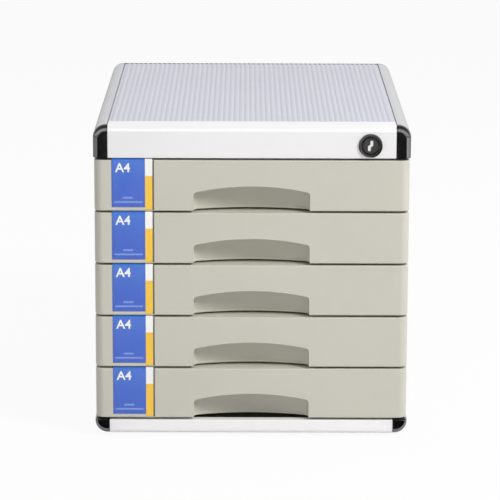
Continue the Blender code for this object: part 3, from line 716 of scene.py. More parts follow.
# The corner caps' chrome has a base colour far darker than bright chrome, so the caps read near black:
# painted shade in their reflections.
cap_chrome = satin_metal("cap_chrome", (128, 128, 130), (140, 140, 142), 0.09, 1.0,
                         (1.0, 1.0, 1.0), line_scale=240.0, line_depth=0.000004, strength=0.05)
# The lock face's chrome is darkened the same way, so its outer ring reads black: painted shade in its
# reflections.
lock_chrome = satin_metal("lock_chrome", (96, 96, 98), (118, 118, 120), 0.18, 1.0,
                          (1.0, 0.05, 1.0), line_scale=500.0, line_depth=0.000005, strength=0.1)
plug_metal = satin_metal("plug_metal", (92, 90, 88), (120, 117, 112), 0.3, 1.0,
                         (1.0, 1.0, 0.2), line_scale=800.0, strength=0.15)
shutter_metal = satin_metal("shutter_metal", (235, 234, 230), (250, 249, 246), 0.5, 0.1,
                            (1.0, 1.0, 0.1), line_scale=600.0, strength=0.1)
zinc_steel = satin_metal("zinc_steel", (178, 180, 184), (206, 208, 210), 0.36, 0.9,
                         (1.0, 1.0, 1.0), line_scale=260.0, patch_scale=60.0)
card_print = printed_card()
clear_cover = clear_sheet()
letter_print = moulded_plastic("label_letters", (246, 247, 250), (252, 252, 253), 0.45,
                               grain_scale=2600.0, strength=0.05)


# Frame of the case


def mirrored(outline, side):
    """An outline drawn for the right, or its mirror image for side -1."""
    return outline * (side, 1)


def turned_over(outline, level, up):
    """An outline drawn for the top and set at a level, or turned upside down for up -1."""
    return outline * (1, up) + (0, level)


def port_centre(side, up):
    """Centre of a rail's screw port: inside the round corner, grown together with its wall."""
    reach = rail_radius - rail_wall - port_radius + rail_wall / 2
    offset = rail_radius - reach / math.sqrt(2)
    level = case_high - offset if up > 0 else case_low + offset
    return side * (half_width - offset), level


def rail_outline(up):
    """A rail's section, drawn for the top right with its outer corner at the case's edge."""
    height = rail_high.z - rail_low.z if up > 0 else foot_rail_high.z - foot_rail_low.z
    centre = (half_width - rail_radius, -rail_radius)
    inner = rail_radius - rail_wall
    flange = half_width - rail_flange
    ledge = flange - rail_ledge
    start = [(half_width, -height)]
    if up > 0:
        web = flange + rail_wall
        turn = math.degrees(math.acos((web - centre[0]) / inner))
        low = -rail_ledge_drop
        under = low - rail_wall
        middle = [(flange, 0), (flange, low), (ledge, low), (ledge, under), (web, under)]
    else:
        turn = 90
        middle = [(ledge, 0), (ledge, -rail_wall)]
    return np.concatenate([start, arc(centre, rail_radius, 0, 90), middle, arc(centre, inner, turn, 0),
                           [(half_width - rail_wall, -height)]])


def make_rails():
    """Four straight extrusions along the case's edges, each with a bored port for a screw."""
    for up, up_name, level in levels:
        for side, side_name in sides:
            name = f"{up_name}_rail_{side_name}"
            outline = turned_over(mirrored(rail_outline(up), side), level, up)
            rail = extruded(name + "_extrusion", outline, "Y", rail_low.y, rail_high.y)
            centre = port_centre(side, up)
            ring = circle(centre, port_radius, ring_count)
            port = extruded("port", ring, "Y", rail_low.y, rail_high.y)
            ring = circle(centre, screw_radius + seat_gap, ring_count, bore_start_degrees)
            bore = extruded("bore", ring, "Y", rail_low.y - cut_overrun, rail_high.y + cut_overrun)
            rail = combined(combined(rail, [port], "UNION"), [bore], "DIFFERENCE")
            piece(name + "_extrusion", rail, rail_metal, "case", [name])


def make_bands():
    """The front's upper band with the lock's hole, and its lower band, both carried along x."""
    r, t, e = band_top_radius, band_wall, band_edge_radius
    h = band_high.z - band_low.z
    depth = band_high.y - band_low.y
    outline = np.concatenate([[(band_return, -h)], arc((e, e - h), e, 270, 180, fillet_steps),
                              arc((r, -r), r, 180, 90), [(depth, 0), (depth, -t)],
                              arc((r, -r), r - t, 90, 180), [(t, t - h), (band_return, t - h)]])
    band = extruded("top_band", outline + (front_y, case_high), "X", band_low.x, band_high.x)
    hole = turned("hole", [(barrel_radius + seat_gap, front_y - cut_overrun),
                           (barrel_radius + seat_gap, front_y + t + cut_overrun)], (lock_x, lock_z))
    band = combined(band, [hole], "DIFFERENCE")
    piece("top_band", band, band_metal_painted_sheen, "case", ["front_band_top"])

    r = band_foot_radius
    h = foot_band_high.z - foot_band_low.z
    depth = foot_band_high.y - foot_band_low.y
    outline = np.concatenate([[(depth, h)], arc((e, h - e), e, 90, 180, fillet_steps),
                              arc((r, r), r, 180, 270), [(depth, 0), (depth, t)],
                              arc((r, r), r - t, 270, 180), [(t, h - t), (depth, h - t)]])
    band = extruded("bottom_band", outline + (front_y, case_low), "X", foot_band_low.x, foot_band_high.x)
    piece("bottom_band", band, band_metal_painted_sheen, "case", ["front_band_bottom"])


def cap_outline(height, outer_inset, inner_inset, radius):
    """A cap seen from the front, drawn for the top right: round on its outer upper corner."""
    right = half_width - outer_inset
    left = cap_low.x + inner_inset
    low = inner_inset - height
    small = cap_small_radius
    corners = [(left, low), (right, low), (right, -outer_inset), (left, -outer_inset)]
    return rounded_outline(corners, [small, small, radius, small], corner_steps)


def make_caps():
    """Hollow caps whose loops step back round the front edge, along the side and into the hollow."""
    e = cap_edge_radius
    depth = cap_high.y - cap_low.y
    room = (min(cap_high.x - cap_low.x, foot_cap_high.z - foot_cap_low.z) - cap_wall - cap_small_radius
            - seat_gap)
    for up, up_name, level in levels:
        height = cap_high.z - cap_low.z if up > 0 else foot_cap_high.z - foot_cap_low.z
        stations = [(inset, cap_small_radius * (1 - i / corner_steps), rail_radius - inset, y)
                    for i, (inset, y) in enumerate(arc((e, e), e, 270, 180))]
        stations += [(0, 0, rail_radius, depth),
                     (cap_wall, cap_wall, min(rail_radius, room) - cap_wall, depth)]
        stations += [(inset, cap_wall, min(rail_radius, room) - inset, y)
                     for inset, y in arc((e, e), e - cap_wall, 180, 270)]
        for side, side_name in sides:
            loops = []
            for outer, inner, radius, y in stations:
                outline = mirrored(cap_outline(height, outer, inner, radius), side)
                loops.append(place(turned_over(outline, level, up), "Y", front_y + y))
            name = f"corner_cap_{up_name}_{side_name}"
            piece(name + "_shell", lofted(name + "_shell", loops), cap_chrome, "case", [name])


def make_top_panel():
    """Ribbed sheet: each rib's height over x is a flat crest with raised-cosine flanks.

    Height = rib height times the clamped flank share s, eased as (1 - cos(pi s)) / 2.
    """
    half = panel_high.x
    count = int(2 * half / rib_pitch)
    crest = rib_pitch * rib_crest_share / 2
    foot = rib_pitch * rib_foot_share / 2
    flank = np.linspace(crest, foot, rib_flank_points)
    local = np.concatenate([-flank[::-1], flank])
    share = np.clip((foot - np.abs(local)) / (foot - crest), 0, 1)
    rise = (1 - np.cos(math.pi * share)) / 2 * rib_height
    middles = (np.arange(count) - (count - 1) / 2) * rib_pitch
    x = (middles[:, None] + local[None, :]).ravel()
    z = np.tile(case_high - rib_height + rise, count)
    top = np.stack([x, z], 1)[::-1]
    valley = case_high - rib_height
    outline = np.concatenate([[(-half, panel_low.z), (half, panel_low.z), (half, valley)], top,
                              [(-half, valley)]])
    mesh = extruded("ribbed_panel", outline, "Y", panel_low.y, panel_high.y)
    piece("ribbed_panel", mesh, panel_metal, "case", ["top_panel"], weighted=False)


def make_back():
    """Back plate with eased edges and a rim that stands inside the case, and its four screws."""
    inside = back_high.y - back_thickness
    rim_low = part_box("base_panel")[1].z + seat_gap
    rim_high = case_high - rail_ledge_drop - rail_wall - seat_gap
    rim_half = half_width - rail_wall - front_wall - 4 * seat_gap
    e = back_edge_radius
    plates = [(rounded_rectangle(-half_width + e - d, case_low + e - d, half_width - e + d,
                                 case_high - e + d, rail_radius - e + d), back_high.y - y)
              for d, y in arc((0, e), e, -90, 0, back_edge_steps)]
    w = back_rim_wall
    outer = rounded_rectangle(-rim_half, rim_low, rim_half, rim_high, back_rim_radius)
    inner = rounded_rectangle(w - rim_half, rim_low + w, rim_half - w, rim_high - w, back_rim_radius - w)
    plate = plates[-1][0]
    rim_y = inside - back_rim_depth
    stations = plates + [(plate, inside), (outer, inside), (outer, rim_y), (inner, rim_y), (inner, inside)]
    loops = [place(outline, "Y", y) for outline, y in stations]
    holes = []
    for side in (-1, 1):
        for up in (-1, 1):
            ring = circle(port_centre(side, up), screw_radius + seat_gap, ring_count, hole_start_degrees)
            holes.append(extruded("hole", ring, "Y", inside - cut_overrun, back_high.y + cut_overrun))
    plate = combined(lofted("back_plate", loops), holes, "DIFFERENCE")
    # The plate's dark finish is painted shade along the case's rear edge.
    piece("back_plate", plate, back_plastic, "case", ["back_panel"])

    head = back_high.y + seat_gap
    top = cad_high.y
    turn = np.radians(np.linspace(0, screw_crown_degrees, screw_crown_points))
    rise = screw_crown_share + (1 - screw_crown_share) * np.sin(turn)
    crown = list(zip(screw_head_radius * np.cos(turn), head + (top - head) * rise))
    for side, side_name in sides:
        for up, up_name in ((1, "top"), (-1, "bottom")):
            x, z = port_centre(side, up)
            profile = [(screw_radius * screw_tip_share, back_high.y - screw_length),
                       (screw_radius, back_high.y - screw_length + screw_radius),
                       (screw_radius, head), (screw_head_radius, head)] + crown
            screw = turned("screw", profile, (x, z), screw_steps)
            bars = []
            for across, along in ((screw_recess_half, screw_recess_width / 2),
                                  (screw_recess_width / 2, screw_recess_half)):
                outline = rounded_rectangle(x - across, z - along, x + across, z + along,
                                            screw_recess_width / 4, small_steps)
                bars.append(extruded("bar", outline, "Y", top - screw_recess_depth, top + cut_overrun))
            screw = combined(screw, bars, "DIFFERENCE")
            name = f"back_screw_{up_name}_{side_name}"
            piece(name + "_turned", screw, zinc_steel, "case", [name])


def make_feet():
    """Four round pads with an eased lower edge."""
    for end in ("front", "rear"):
        for side in ("left", "right"):
            name = f"foot_{end}_{side}"
            low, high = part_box(name)
            x, y = (low.x + high.x) / 2, (low.y + high.y) / 2
            e = foot_edge_radius
            rings = arc((foot_radius - e, e), e, -90, 0, fillet_steps).tolist()
            rings += [(foot_radius, high.z)]
            loops = [place(circle((x, y), radius, foot_count), "Z", z) for radius, z in rings]
            piece(name + "_pad", lofted(name, loops), rubber, "case", [name])


# Drawers


def bowed(x, half, middle, end):
    """A circle's arc over x through one value at the middle and another at each end."""
    rise = middle - end
    radius = (half ** 2 + rise ** 2) / (2 * rise)
    return middle - radius + np.sqrt(radius ** 2 - x ** 2)


def rounded_end(x, half, radius):
    """How far a quarter round takes an edge back near the ends: radius less the circle's height."""
    past = np.clip(np.abs(x) - (half - radius), 0, radius)
    return radius - np.sqrt(radius ** 2 - past ** 2)


def face_section(wall, face, base, top_radius, lip, shared, middle, stop, low_radius):
    """One upright cut through the front where it has no pull, as depths and heights.

    It runs along the top, round the top's edge, down the face, over the pocket's lip if the face is
    set back behind its base, down to the lower edge and back along the underside.  The shared,
    middle and stop heights are those of the points that a neighbouring cut has on the same line.
    """
    inward, down = 1 - np.sin(quarter_turn), 1 - np.cos(quarter_turn)
    top = front_height - wall
    small = label_pocket_edge if face > base else 0
    first = face + top_radius
    foot = base + low_radius
    pull_foot = pull_depth_end - pull_end_radius - (0 if wall else pull_bead_depth)
    shoulders = [label_slot_depth + label_pocket_edge, label_pocket_depth + label_pocket_edge]
    depths = np.concatenate([
        np.maximum(first, shoulders), face + top_radius * inward, [face] * 4, base + small * inward,
        [base] * 14, base + low_radius * down, np.linspace(foot, max(foot, pull_foot), 4)[1:]])
    heights = np.concatenate([
        [top] * 2, top - top_radius * down, np.linspace(top - top_radius, shared, 4)[1:], [lip],
        lip - label_pocket_edge * down, [lip - label_pocket_edge, middle],
        np.linspace(stop, wall + low_radius, 12), wall + low_radius * inward, [wall] * 3])
    return np.stack([depths, heights], 1)


def pull_section(x, wall):
    """Cuts through the front across the finger pull: face, roof, bowed back wall and its bead.

    The roof's height and the wall's depth are circle arcs over x, rounded off at both ends.  The
    roof turns down into the wall on a quarter ellipse.
    """
    top = front_height - wall
    edge = front_edge_radius if wall == 0 else inner_edge_radius
    lip = pull_lip_radius if wall == 0 else 0
    sines, cosines = np.sin(quarter_turn), np.cos(quarter_turn)
    arch = bowed(x * pull_half / (pull_half + wall), pull_half, pull_arch_middle, pull_arch_end) + wall
    arch = arch - rounded_end(x, pull_half + wall, pull_corner_radius + wall)
    depth = bowed(x * pull_half / (pull_half + wall), pull_half, pull_depth_middle, pull_depth_end) + wall
    depth = depth - rounded_end(x, pull_half + wall, pull_end_radius + wall)
    ones = np.ones_like(x)
    columns = [(max(wall + edge, shoulder + label_pocket_edge) * ones, top * ones)
               for shoulder in (label_slot_depth, label_pocket_depth)]
    columns += [((wall + edge * (1 - s)) * ones, (top - edge * (1 - c)) * ones)
                for s, c in zip(sines, cosines)]
    columns += [(wall * ones, z * ones) for z in np.linspace(top - edge, plain_level, 4)[1:]]
    columns += [(wall * ones, plain_level * ones)]
    columns += [(wall * ones, (plain_level - label_pocket_edge * (1 - c)) * ones) for c in cosines]
    start = plain_level - label_pocket_edge
    columns += [(wall * ones, start + (arch + lip - start) * share) for share in above_pull_shares]
    columns += [(wall + lip * (1 - c), arch + lip * (1 - s)) for s, c in zip(sines, cosines)]
    roof = np.minimum(pull_roof_depth, depth - wall - lip)
    columns += [(depth - roof * (1 - s), arch - pull_roof_drop * (1 - c))
                for s, c in zip(sines, cosines)]
    bead = pull_bead_depth if wall == 0 else 0
    bead_top = pull_bead_height + pull_bead_slope
    columns += [(depth, (arch - pull_roof_drop) * (1 - share) + bead_top * share)
                for share in back_wall_shares]
    turn = np.linspace(0, math.pi, bead_points)
    columns += [(depth - bead * (1 - np.cos(t)) / 2, (bead_top - pull_bead_slope * t / math.pi) * ones)
                for t in turn]
    low = wall if wall > 0 else 0
    columns += [(depth - bead, low + (pull_bead_height - low) * ones * share)
                for share in below_bead_shares]
    depths = np.stack([d * ones for d, z in columns], 1)
    heights = np.stack([z * ones for d, z in columns], 1)
    return np.stack([depths, np.maximum(heights, low)], -1)


def front_zones(wall):
    """Cuts through the front from left to right, each with its x, for the skin at a wall's depth.

    Where two zones meet, both have a cut at the same x, and what differs between the two becomes
    the side of the pocket, the slot or the pull.
    """
    edge = front_edge_radius if wall == 0 else inner_edge_radius
    centre = front_half - front_corner_radius
    left = label_left - front_half
    small = label_pocket_edge
    stop = pull_arch_end - pull_corner_radius + (0 if wall else pull_lip_radius)
    middle = (plain_level - small + stop) / 2
    open_face = face_section(wall, wall, wall, edge, plain_level, plain_level, middle, stop, edge)
    if wall == 0:
        low = label_lip - small
        foot = label_foot_radius
        pocket = label_pocket_depth
        beside = face_section(0, 0, 0, edge, label_lip, label_lip, low, low, edge)
        blue = face_section(0, pocket, 0, small, label_lip, label_lip, low, low, edge)
        blue_end = face_section(0, pocket, 0, small, label_lip, label_lip, foot, foot, foot)
        strip = face_section(0, pocket, 0, small, label_strip_lip, label_lip, foot, foot, foot)
        slot = face_section(0, label_slot_depth, 0, small, label_strip_lip, label_lip, foot, foot, foot)
        slot_side = face_section(0, 0, 0, edge, label_strip_lip, label_lip, foot, foot, foot)
    else:
        pad = label_slot_depth + label_slot_wall
        beside = slot_side = open_face
        blue = face_section(wall, pad, pad, edge, plain_level, plain_level, middle, stop, edge)
        blue_end = strip = slot = blue
    room = wall if wall > 0 else seat_gap
    blue_right = left + label_blue_width
    slot_left = blue_right + label_strip_width + seat_gap / 2
    slot_right = blue_right + label_strip_width + label_side_gap + wall
    zones = [(x, beside) for x in np.linspace(-centre, left - room, 4)]
    zones += [(x, blue) for x in np.linspace(left - room, blue_right - zone_blend, 4)]
    zones += [(blue_right, blue_end)]
    zones += [(x, strip) for x in np.linspace(blue_right, slot_left, 3)]
    zones += [(x, slot) for x in np.linspace(slot_left, slot_right, 2)]
    zones += [(slot_right, slot_side)]
    zones += [(x, open_face) for x in np.linspace(slot_right + zone_blend, -pull_half - wall, 5)]
    across = np.sin(np.linspace(-math.pi / 2, math.pi / 2, pull_cuts)) * (pull_half + wall)
    zones += list(zip(across, pull_section(across, wall)))
    zones += [(x, open_face) for x in np.linspace(pull_half + wall, centre, 8)]
    return zones, beside, open_face


def front_skin(wall):
    """The drawer front's outer skin, or with a wall its inner one, as a grid of points.

    A cut of depths and heights is carried along the front's plan outline: side, corner arc, front,
    corner arc, side.  Depth is measured square to the outline.  The first and last point of each
    cut lie on the back edge.
    """
    half = front_half - wall
    radius = front_corner_radius - wall
    centre = front_half - front_corner_radius
    edge = front_edge_radius if wall == 0 else inner_edge_radius
    side = np.linspace(front_depth, front_corner_radius, side_cuts)[:-1]
    turn = np.radians(np.linspace(180, 270, corner_steps + 1))
    corner = np.concatenate([
        np.stack([np.full(len(side), -half), side, np.ones(len(side)), np.zeros(len(side))], 1),
        np.stack([radius * np.cos(turn) - centre, front_corner_radius + radius * np.sin(turn),
                  -np.cos(turn), -np.sin(turn)], 1)])
    backs = np.linspace(-half + edge, -centre, len(corner))

    def carried(x, y, inward_x, inward_y, back_x, section):
        """One cut set in place, with its two points on the back edge."""
        depth, height = section[:, 0] - wall, section[:, 1]
        line = np.stack([x + inward_x * depth, y + inward_y * depth, height], 1)
        ends = [(back_x, front_depth, height[0]), (back_x, front_depth, height[-1])]
        return np.concatenate([ends[:1], line, ends[1:]])

    zones, left_side, right_side = front_zones(wall)
    rows = [carried(x, y, nx, ny, back, left_side) for (x, y, nx, ny), back in zip(corner, backs)]
    rows += [carried(x, wall, 0, 1, x, section) for x, section in zones]
    rows += [carried(-x, y, -nx, ny, -back, right_side)
             for (x, y, nx, ny), back in zip(corner[::-1], backs[::-1])]
    return np.array(rows)


def front_mesh():
    """The front as a hollow shell: an outer and an inner skin, joined round the open back."""
    outer = front_skin(0.0)
    inner = front_skin(front_wall)
    rows, columns = outer.shape[:2]
    count = rows * columns
    faces = grid_faces(rows, columns)
    index = np.arange(count).reshape(rows, columns)
    border = np.concatenate([index[0, :-1], index[:-1, -1], index[-1, :0:-1], index[:0:-1, 0]])
    after = np.roll(border, -1)
    rim = np.stack([border, border + count, after + count, after], 1)
    faces = np.concatenate([faces, faces[:, ::-1] + count, rim])
    points = np.concatenate([outer.reshape(-1, 3), inner.reshape(-1, 3)])
    return clean_mesh("drawer_face", points, faces.tolist(), face_sharp_degrees)


def hook_mesh():
    """The two snap hooks that grow from the front and hold the tray."""
    meshes = []
    for x in (-hook_spacing / 2, hook_spacing / 2):
        y0 = front_wall - seat_gap
        y1 = front_depth + seat_gap + tray_wall + seat_gap
        y2 = front_depth + hook_reach
        corners = [(x, y0), (x + hook_thickness, y0), (x + hook_thickness, y1),
                   (x + hook_thickness + hook_barb, y1), (x + hook_thickness, y2), (x, y2)]
        outline = rounded_outline(corners, hook_corner_radii, small_steps)
        middle = (tray_low.z + tray_high.z) / 2 - front_low.z
        meshes.append(extruded("hook", outline, "Z", middle - hook_width / 2, middle + hook_width / 2))
    return meshes


def tray_mesh():
    """Open box: rounded rectangles stepped up the outside, over the rim and down the inside."""
    low = tray_low.z - front_low.z
    high = tray_high.z - front_low.z
    near = front_depth + seat_gap
    far = tray_high.y - front_y
    r, f, e = tray_bottom_radius, tray_floor_radius, tray_rim_radius
    section = np.concatenate([
        arc((r, low + r), r, 270, 180, fillet_steps), arc((e, high - e), e, 180, 90, small_steps),
        arc((tray_wall - e, high - e), e, 90, 0, small_steps),
        arc((tray_wall + f, low + tray_floor + f), f, 180, 270, fillet_steps)])
    loops = [place(rounded_rectangle(inset - tray_half_width, near + inset, tray_half_width - inset,
                                     far - inset, tray_corner_radius - inset, tray_steps), "Z", z)
             for inset, z in section]
    tray = lofted("tray_box", loops)
    root = tray_half_width - tray_wall / 2
    tip = tray_high.x
    end = far - tray_corner_radius
    flange_high = flange_level + flange_thickness
    flanges = [box_mesh("flange", (left, flange_start, flange_level), (right, end, flange_high),
                        flange_radius) for left, right in ((root, tip), (-tip, -root))]
    tray = combined(tray, flanges, "UNION")
    middle = (low + high) / 2
    windows = [box_mesh("window", (x - seat_gap, near - cut_overrun, middle - hook_width / 2 - seat_gap),
                        (x + hook_thickness + hook_barb + seat_gap, near + tray_wall + cut_overrun / 2,
                         middle + hook_width / 2 + seat_gap), window_radius)
               for x in (-hook_spacing / 2, hook_spacing / 2)]
    return combined(tray, windows, "DIFFERENCE")


def label_outline():
    """The label seen from the front: a blue field, and a strip that reaches further down."""
    left = label_left - front_half
    blue_right = left + label_blue_width
    right = blue_right + label_strip_width
    high = card_high.z - front_low.z
    return [(left, label_lip + seat_gap), (blue_right, label_lip + seat_gap),
            (blue_right, label_strip_lip + seat_gap), (right, label_strip_lip + seat_gap),
            (right, high), (left, high)]


def card_mesh():
    """The printed card, with a UV map that runs 0 to 1 over its box."""
    corners = label_outline()
    outline = rounded_outline(corners, card_corner_radii, small_steps)
    mesh = extruded("card", outline, "Y", card_low.y - front_y, card_high.y - front_y)
    low_x, low_z = corners[0][0], corners[2][1]
    wide, tall = corners[3][0] - low_x, corners[4][1] - low_z
    points = vertex_places(mesh)
    vertex = np.zeros(len(mesh.loops), int)
    mesh.loops.foreach_get("vertex_index", vertex)
    uv = np.stack([(points[vertex, 0] - low_x) / wide, (points[vertex, 2] - low_z) / tall], 1)
    layer = mesh.uv_layers.new(name="label")
    layer.data.foreach_set("uv", uv.ravel())
    return mesh


def cover_mesh():
    """The clear cover, no higher than the front's upper edge."""
    corners = [(x, min(z, front_height)) for x, z in label_outline()]
    outline = rounded_outline(corners, cover_corner_radii, small_steps)
    return extruded("cover", outline, "Y", cover_low.y - front_y, cover_high.y - front_y)


def letters_mesh():
    """The paper size that the drawer takes, as flat letters a hair in front of the card."""
    curve = bpy.data.curves.new("paper_size", "FONT")
    curve.body = "A4"
    curve.offset = 0.018
    curve.extrude = 0.02
    curve.resolution_u = 6
    mesh = final_mesh(added("paper_size", curve))
    points = vertex_places(mesh)
    low, high = points.min(0), points.max(0)
    share = (points - low) / (high - low)
    card_front = card_low.y - front_y
    placed = np.stack([letters_left - front_half + share[:, 0] * letters_width,
                       card_front - letters_gap - share[:, 2] * letters_thickness,
                       letters_top - letters_height + share[:, 1] * letters_height], 1)
    mesh.vertices.foreach_set("co", placed.ravel())
    bm = bmesh.new()
    bm.from_mesh(mesh)
    bmesh.ops.remove_doubles(bm, verts=bm.verts, dist=merge_distance)
    bmesh.ops.recalc_face_normals(bm, faces=bm.faces)
    bm.to_mesh(mesh)
    bm.free()
    return mesh


def make_drawers():
    """Five drawers alike, each a set of copies of the same meshes at its own height."""
    face = front_mesh()
    tray = tray_mesh()
    card = card_mesh()
    cover = cover_mesh()
    letters = letters_mesh()
    hooks = hook_mesh()
    for number in range(1, drawer_count + 1):
        body = f"drawer_{number}"
        offset = Vector((0, front_y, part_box(f"{body}_front")[0].z))
        for label, mesh, material, slot, nodes in (
                ("face", face, drawer_plastic, "drawer_plastic", [f"{body}_front"]),
                ("tray_box", tray, tray_plastic, "tray_plastic", [f"{body}_tray"]),
                ("card", card, card_print, "label_card", [f"{body}_label_card"]),
                ("cover", cover, clear_cover, "clear_cover", [f"{body}_label_cover"]),
                ("size_letters", letters, letter_print, "label_card", []),
                ("hook_left", hooks[0], drawer_plastic, "drawer_plastic", []),
                ("hook_right", hooks[1], drawer_plastic, "drawer_plastic", [])):
            name = f"{body}_{label}"
            piece(name, moved_copy(mesh, name, offset), material, body, nodes,
                  weighted=label != "size_letters")


# Lock


def make_lock():
    """The stepped lock face, the plug with its stepped keyway and the pale shutter inside it."""
    face = lock_low.y
    seat = front_y - seat_gap
    recess = face + lock_step
    head_end = front_y + plug_head_depth
    end = lock_high.y
    bore = plug_radius + seat_gap
    narrow = plug_body_radius + seat_gap
    r = lock_edge_radius
    bevel = arc((lock_face_radius - lock_bevel, face + lock_bevel), lock_bevel, -90, 0, bevel_steps)
    ring = [(bore, head_end + seat_gap), (bore, recess + r), (bore + r, recess),
            (lock_ring_radius - r, recess), (lock_ring_radius, recess - r), (lock_ring_radius, face + r),
            (lock_ring_radius + r, face)]
    profile = ring + bevel.tolist() + [(lock_face_radius, seat), (barrel_radius, seat),
                                       (barrel_radius, end), (narrow, end), (narrow, head_end + seat_gap)]
    mesh = turned("lock_face", profile, (lock_x, lock_z), ring=True)
    piece("lock_face", mesh, lock_chrome, "case", ["lock_housing"])

    profile = [(plug_radius - r, recess), (plug_radius, recess + r), (plug_radius, head_end),
               (plug_body_radius, head_end), (plug_body_radius, end)]
    plug = turned("plug", profile, (lock_x, lock_z))
    tang_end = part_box("lock_plug")[1].y
    tang = box_mesh("tang", (lock_x - tang_half, end - cut_overrun, lock_z - tang_half),
                    (lock_x + tang_half, tang_end, lock_z + tang_half), r)
    h, w, j = key_slot_height / 2, key_slot_width / 2, key_slot_jog / 2
    corners = [(-j - w, 0), (-j - w, -h), (w - j, -h), (w - j, -j), (w + j, 0), (w + j, h), (j - w, h),
               (j - w, j)]
    rounding = [r] * len(corners)
    outline = rounded_outline(np.array(corners) + (lock_x, lock_z), rounding, small_steps)
    slot = extruded("slot", outline, "Y", recess - cut_overrun, recess + key_slot_depth)
    plug = combined(combined(plug, [tang], "UNION"), [slot], "DIFFERENCE")
    piece("plug_turned", plug, plug_metal, "lock_plug", ["lock_plug"])
    inner = rounded_outline(np.array(corners) * shutter_share + (lock_x, lock_z), rounding, small_steps)
    shutter = extruded("key_shutter", inner, "Y", recess + shutter_depth, recess + 2 * shutter_depth)
    piece("key_shutter", shutter, shutter_metal, "lock_plug")


def finish_kept_nodes():
    """CAD nodes that are shown as they are get their finish."""
    kept = {"side_panel_left": side_plastic, "side_panel_right": side_plastic,
            "base_panel": base_plastic, "lock_nut": zinc_steel, "lock_crank": zinc_steel,
            "lock_crank_screw": zinc_steel, "lock_bar": zinc_steel}
    kept.update({f"drawer_{number}_lock_catch": tray_plastic for number in range(1, drawer_count + 1)})
    for name, material in kept.items():
        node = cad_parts[name]
        node.data.materials.clear()
        node.data.materials.append(material)


make_rails()
make_bands()
make_caps()
make_top_panel()
make_back()
make_feet()
make_drawers()
make_lock()
finish_kept_nodes()


# Stage, lights and camera

floor_tone = (0.75, 0.75, 0.75, 1)
floor_glow_share = 0.93
ambient_colour = (0.75, 0.76, 0.78, 1)
ambient_strength = 0.5
studio_steps = ((0.0, 0.7), (0.05, 1.0), (0.22, 1.0), (0.33, 0.12), (0.6, 0.12), (0.8, 0.5), (0.97, 0.85))
floor_reach = 12.0
floor_drop = 0.0002
dark_card_level = 0.002
dark_card_gap = 0.006
dark_card_far = -2.6
dark_card_inner = (0.137, 0.17)
dark_card_outer = (0.9, 1.2)

# Each light's name, place, aim, width and power
lights = (("key", (1.7, -1.5, 1.9), (0, 0, 0.15), 0.9, 62),
          ("fill", (-1.8, -1.4, 1.0), (0, 0, 0.15), 1.4, 6),
          ("top", (0.2, 0.4, 2.2), (0, 0, 0.2), 1.6, 12))

# Camera fitted to the photograph: pitch, roll and yaw in degrees, place in metres
camera_degrees = (12.46, 0.174, -0.105)
camera_place = (-0.0062, front_y - 2.5157, 0.7409)
focal_pixels = 2700
frame_pixels = 500
sensor_width = 36.0
camera_reach = 60


def stage_material(name, colour, roughness):
    """A plain finish for the stage."""
    material = bpy.data.materials.new(name)
    material.use_nodes = True
    shader = material.node_tree.nodes["Principled BSDF"]
    shader.inputs["Base Color"].default_value = colour
    shader.inputs["Roughness"].default_value = roughness
    return material


def flat_sheet(name, corners, material):
    """A sheet with four corners that belongs to the stage."""
    mesh = bpy.data.meshes.new(name)
    mesh.from_pydata(corners, [], [(0, 1, 2, 3)])
    mesh.materials.append(material)
    obj = added(name, mesh)
    return obj


def bright_floor():
    """Pale floor that the camera sees as near white, with a faint shadow under the case."""
    material = stage_material("floor", floor_tone, 0.9)
    tree = material.node_tree
    glow = tree.nodes.new("ShaderNodeEmission")
    path = tree.nodes.new("ShaderNodeLightPath")
    share = math_node(tree, "MULTIPLY", path.outputs["Is Camera Ray"], floor_glow_share)
    mix = tree.nodes.new("ShaderNodeMixShader")
    tree.links.new(share, mix.inputs["Fac"])
    tree.links.new(tree.nodes["Principled BSDF"].outputs["BSDF"], mix.inputs[1])
    tree.links.new(glow.outputs["Emission"], mix.inputs[2])
    tree.links.new(mix.outputs["Shader"], tree.nodes["Material Output"].inputs["Surface"])
    return material


def make_stage():
    """Floor, and dark cards that only the polished corner caps reflect."""
    reach = floor_reach
    floor = flat_sheet("floor", [(-reach, -reach, 0), (reach, -reach, 0), (reach, reach, 0),
                                 (-reach, reach, 0)], bright_floor())
    floor.location.z = -floor_drop
    black = stage_material("dark_card", (0, 0, 0, 1), 1.0)
    near, far = front_y - dark_card_gap, dark_card_far
    for side, side_name in sides:
        corners = [(side * dark_card_inner[0], near), (side * dark_card_outer[0], near),
                   (side * dark_card_outer[1], far), (side * dark_card_inner[1], far)]
        corners = [(x, y, dark_card_level) for x, y in corners]
        card = flat_sheet(f"dark_card_{side_name}", corners, black)
        for flag in ("visible_camera", "visible_diffuse", "visible_shadow", "visible_transmission"):
            setattr(card, flag, False)


def add_light(name, place_from, aim, width, power):
    """A square soft light that polished metal does not reflect."""
    data = bpy.data.lights.new(name, "AREA")
    data.shape = "RECTANGLE"
    data.size = width
    data.size_y = width
    data.energy = power
    light = added(name, data)
    light.location = place_from
    light.rotation_euler = (Vector(aim) - Vector(place_from)).to_track_quat("-Z", "Y").to_euler()
    light.visible_glossy = False


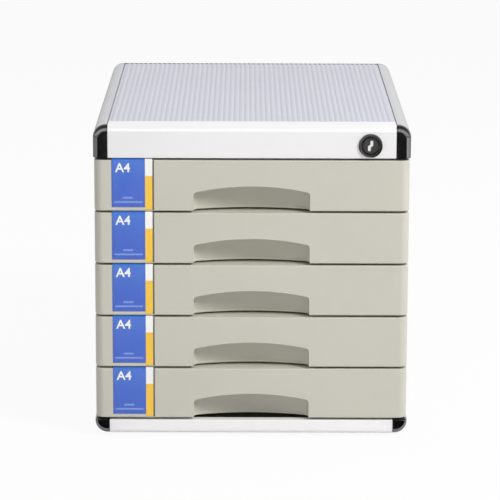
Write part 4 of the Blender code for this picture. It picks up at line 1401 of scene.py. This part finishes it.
def reflected_studio(tree):
    """Brightness of the studio that metal reflects, by the angle from the front over the top.

    The angle is atan2(height, -y) of the ray's direction, as a share of half a turn: a bright
    screen in front, a dark ceiling and a pale wall behind.
    """
    direction = tree.nodes.new("ShaderNodeTexCoord")
    split = tree.nodes.new("ShaderNodeSeparateXYZ")
    tree.links.new(direction.outputs["Generated"], split.inputs["Vector"])
    forward = math_node(tree, "MULTIPLY", split.outputs["Y"], -1)
    angle = math_node(tree, "ARCTAN2", split.outputs["Z"], forward)
    share = math_node(tree, "DIVIDE", angle, math.pi)
    ramp = tree.nodes.new("ShaderNodeValToRGB")
    tree.links.new(share, ramp.inputs["Fac"])
    steps = ramp.color_ramp.elements
    while len(steps) < len(studio_steps):
        steps.new(0.5)
    for step, (place_share, tone) in zip(steps, studio_steps):
        step.position = place_share
        step.color = (tone, tone, tone, 1)
    reflected = tree.nodes.new("ShaderNodeBackground")
    tree.links.new(ramp.outputs["Color"], reflected.inputs["Color"])
    return reflected.outputs["Background"]


def make_lights():
    """The soft lights, and a world that differs for glossy rays, the camera and all the rest."""
    for light in lights:
        add_light(*light)
    world = bpy.data.worlds.new("studio")
    bpy.context.scene.world = world
    world.use_nodes = True
    tree = world.node_tree
    background = tree.nodes["Background"]
    background.inputs["Color"].default_value = ambient_colour
    background.inputs["Strength"].default_value = ambient_strength
    white = tree.nodes.new("ShaderNodeBackground")
    white.inputs["Color"].default_value = (1, 1, 1, 1)
    white.inputs["Strength"].default_value = 1.0
    path = tree.nodes.new("ShaderNodeLightPath")
    shown = background.outputs["Background"]
    for flag, seen in (("Is Glossy Ray", reflected_studio(tree)),
                       ("Is Camera Ray", white.outputs["Background"])):
        mix = tree.nodes.new("ShaderNodeMixShader")
        tree.links.new(path.outputs[flag], mix.inputs["Fac"])
        tree.links.new(shown, mix.inputs[1])
        tree.links.new(seen, mix.inputs[2])
        shown = mix.outputs["Shader"]
    tree.links.new(shown, tree.nodes["World Output"].inputs["Surface"])
    bpy.context.scene.view_settings.view_transform = "Standard"


def make_camera():
    """A camera that is level at first and looks along +Y, then turned by yaw, pitch and roll."""
    pitch, roll, yaw = (math.radians(angle) for angle in camera_degrees)
    level = Matrix(((1, 0, 0), (0, 0, -1), (0, 1, 0)))
    flip = Matrix(((1, 0, 0), (0, -1, 0), (0, 0, -1)))
    view = (Matrix.Rotation(roll, 3, "Z") @ Matrix.Rotation(pitch, 3, "X") @ level
            @ Matrix.Rotation(-yaw, 3, "Z"))
    data = bpy.data.cameras.new("camera")
    data.sensor_width = sensor_width
    data.lens = focal_pixels / frame_pixels * sensor_width
    data.clip_end = camera_reach
    camera = added("camera", data)
    camera.matrix_world = Matrix.Translation(camera_place) @ (flip @ view).transposed().to_4x4()
    bpy.context.scene.camera = camera


make_stage()
make_lights()
make_camera()

bpy.context.view_layer.update()
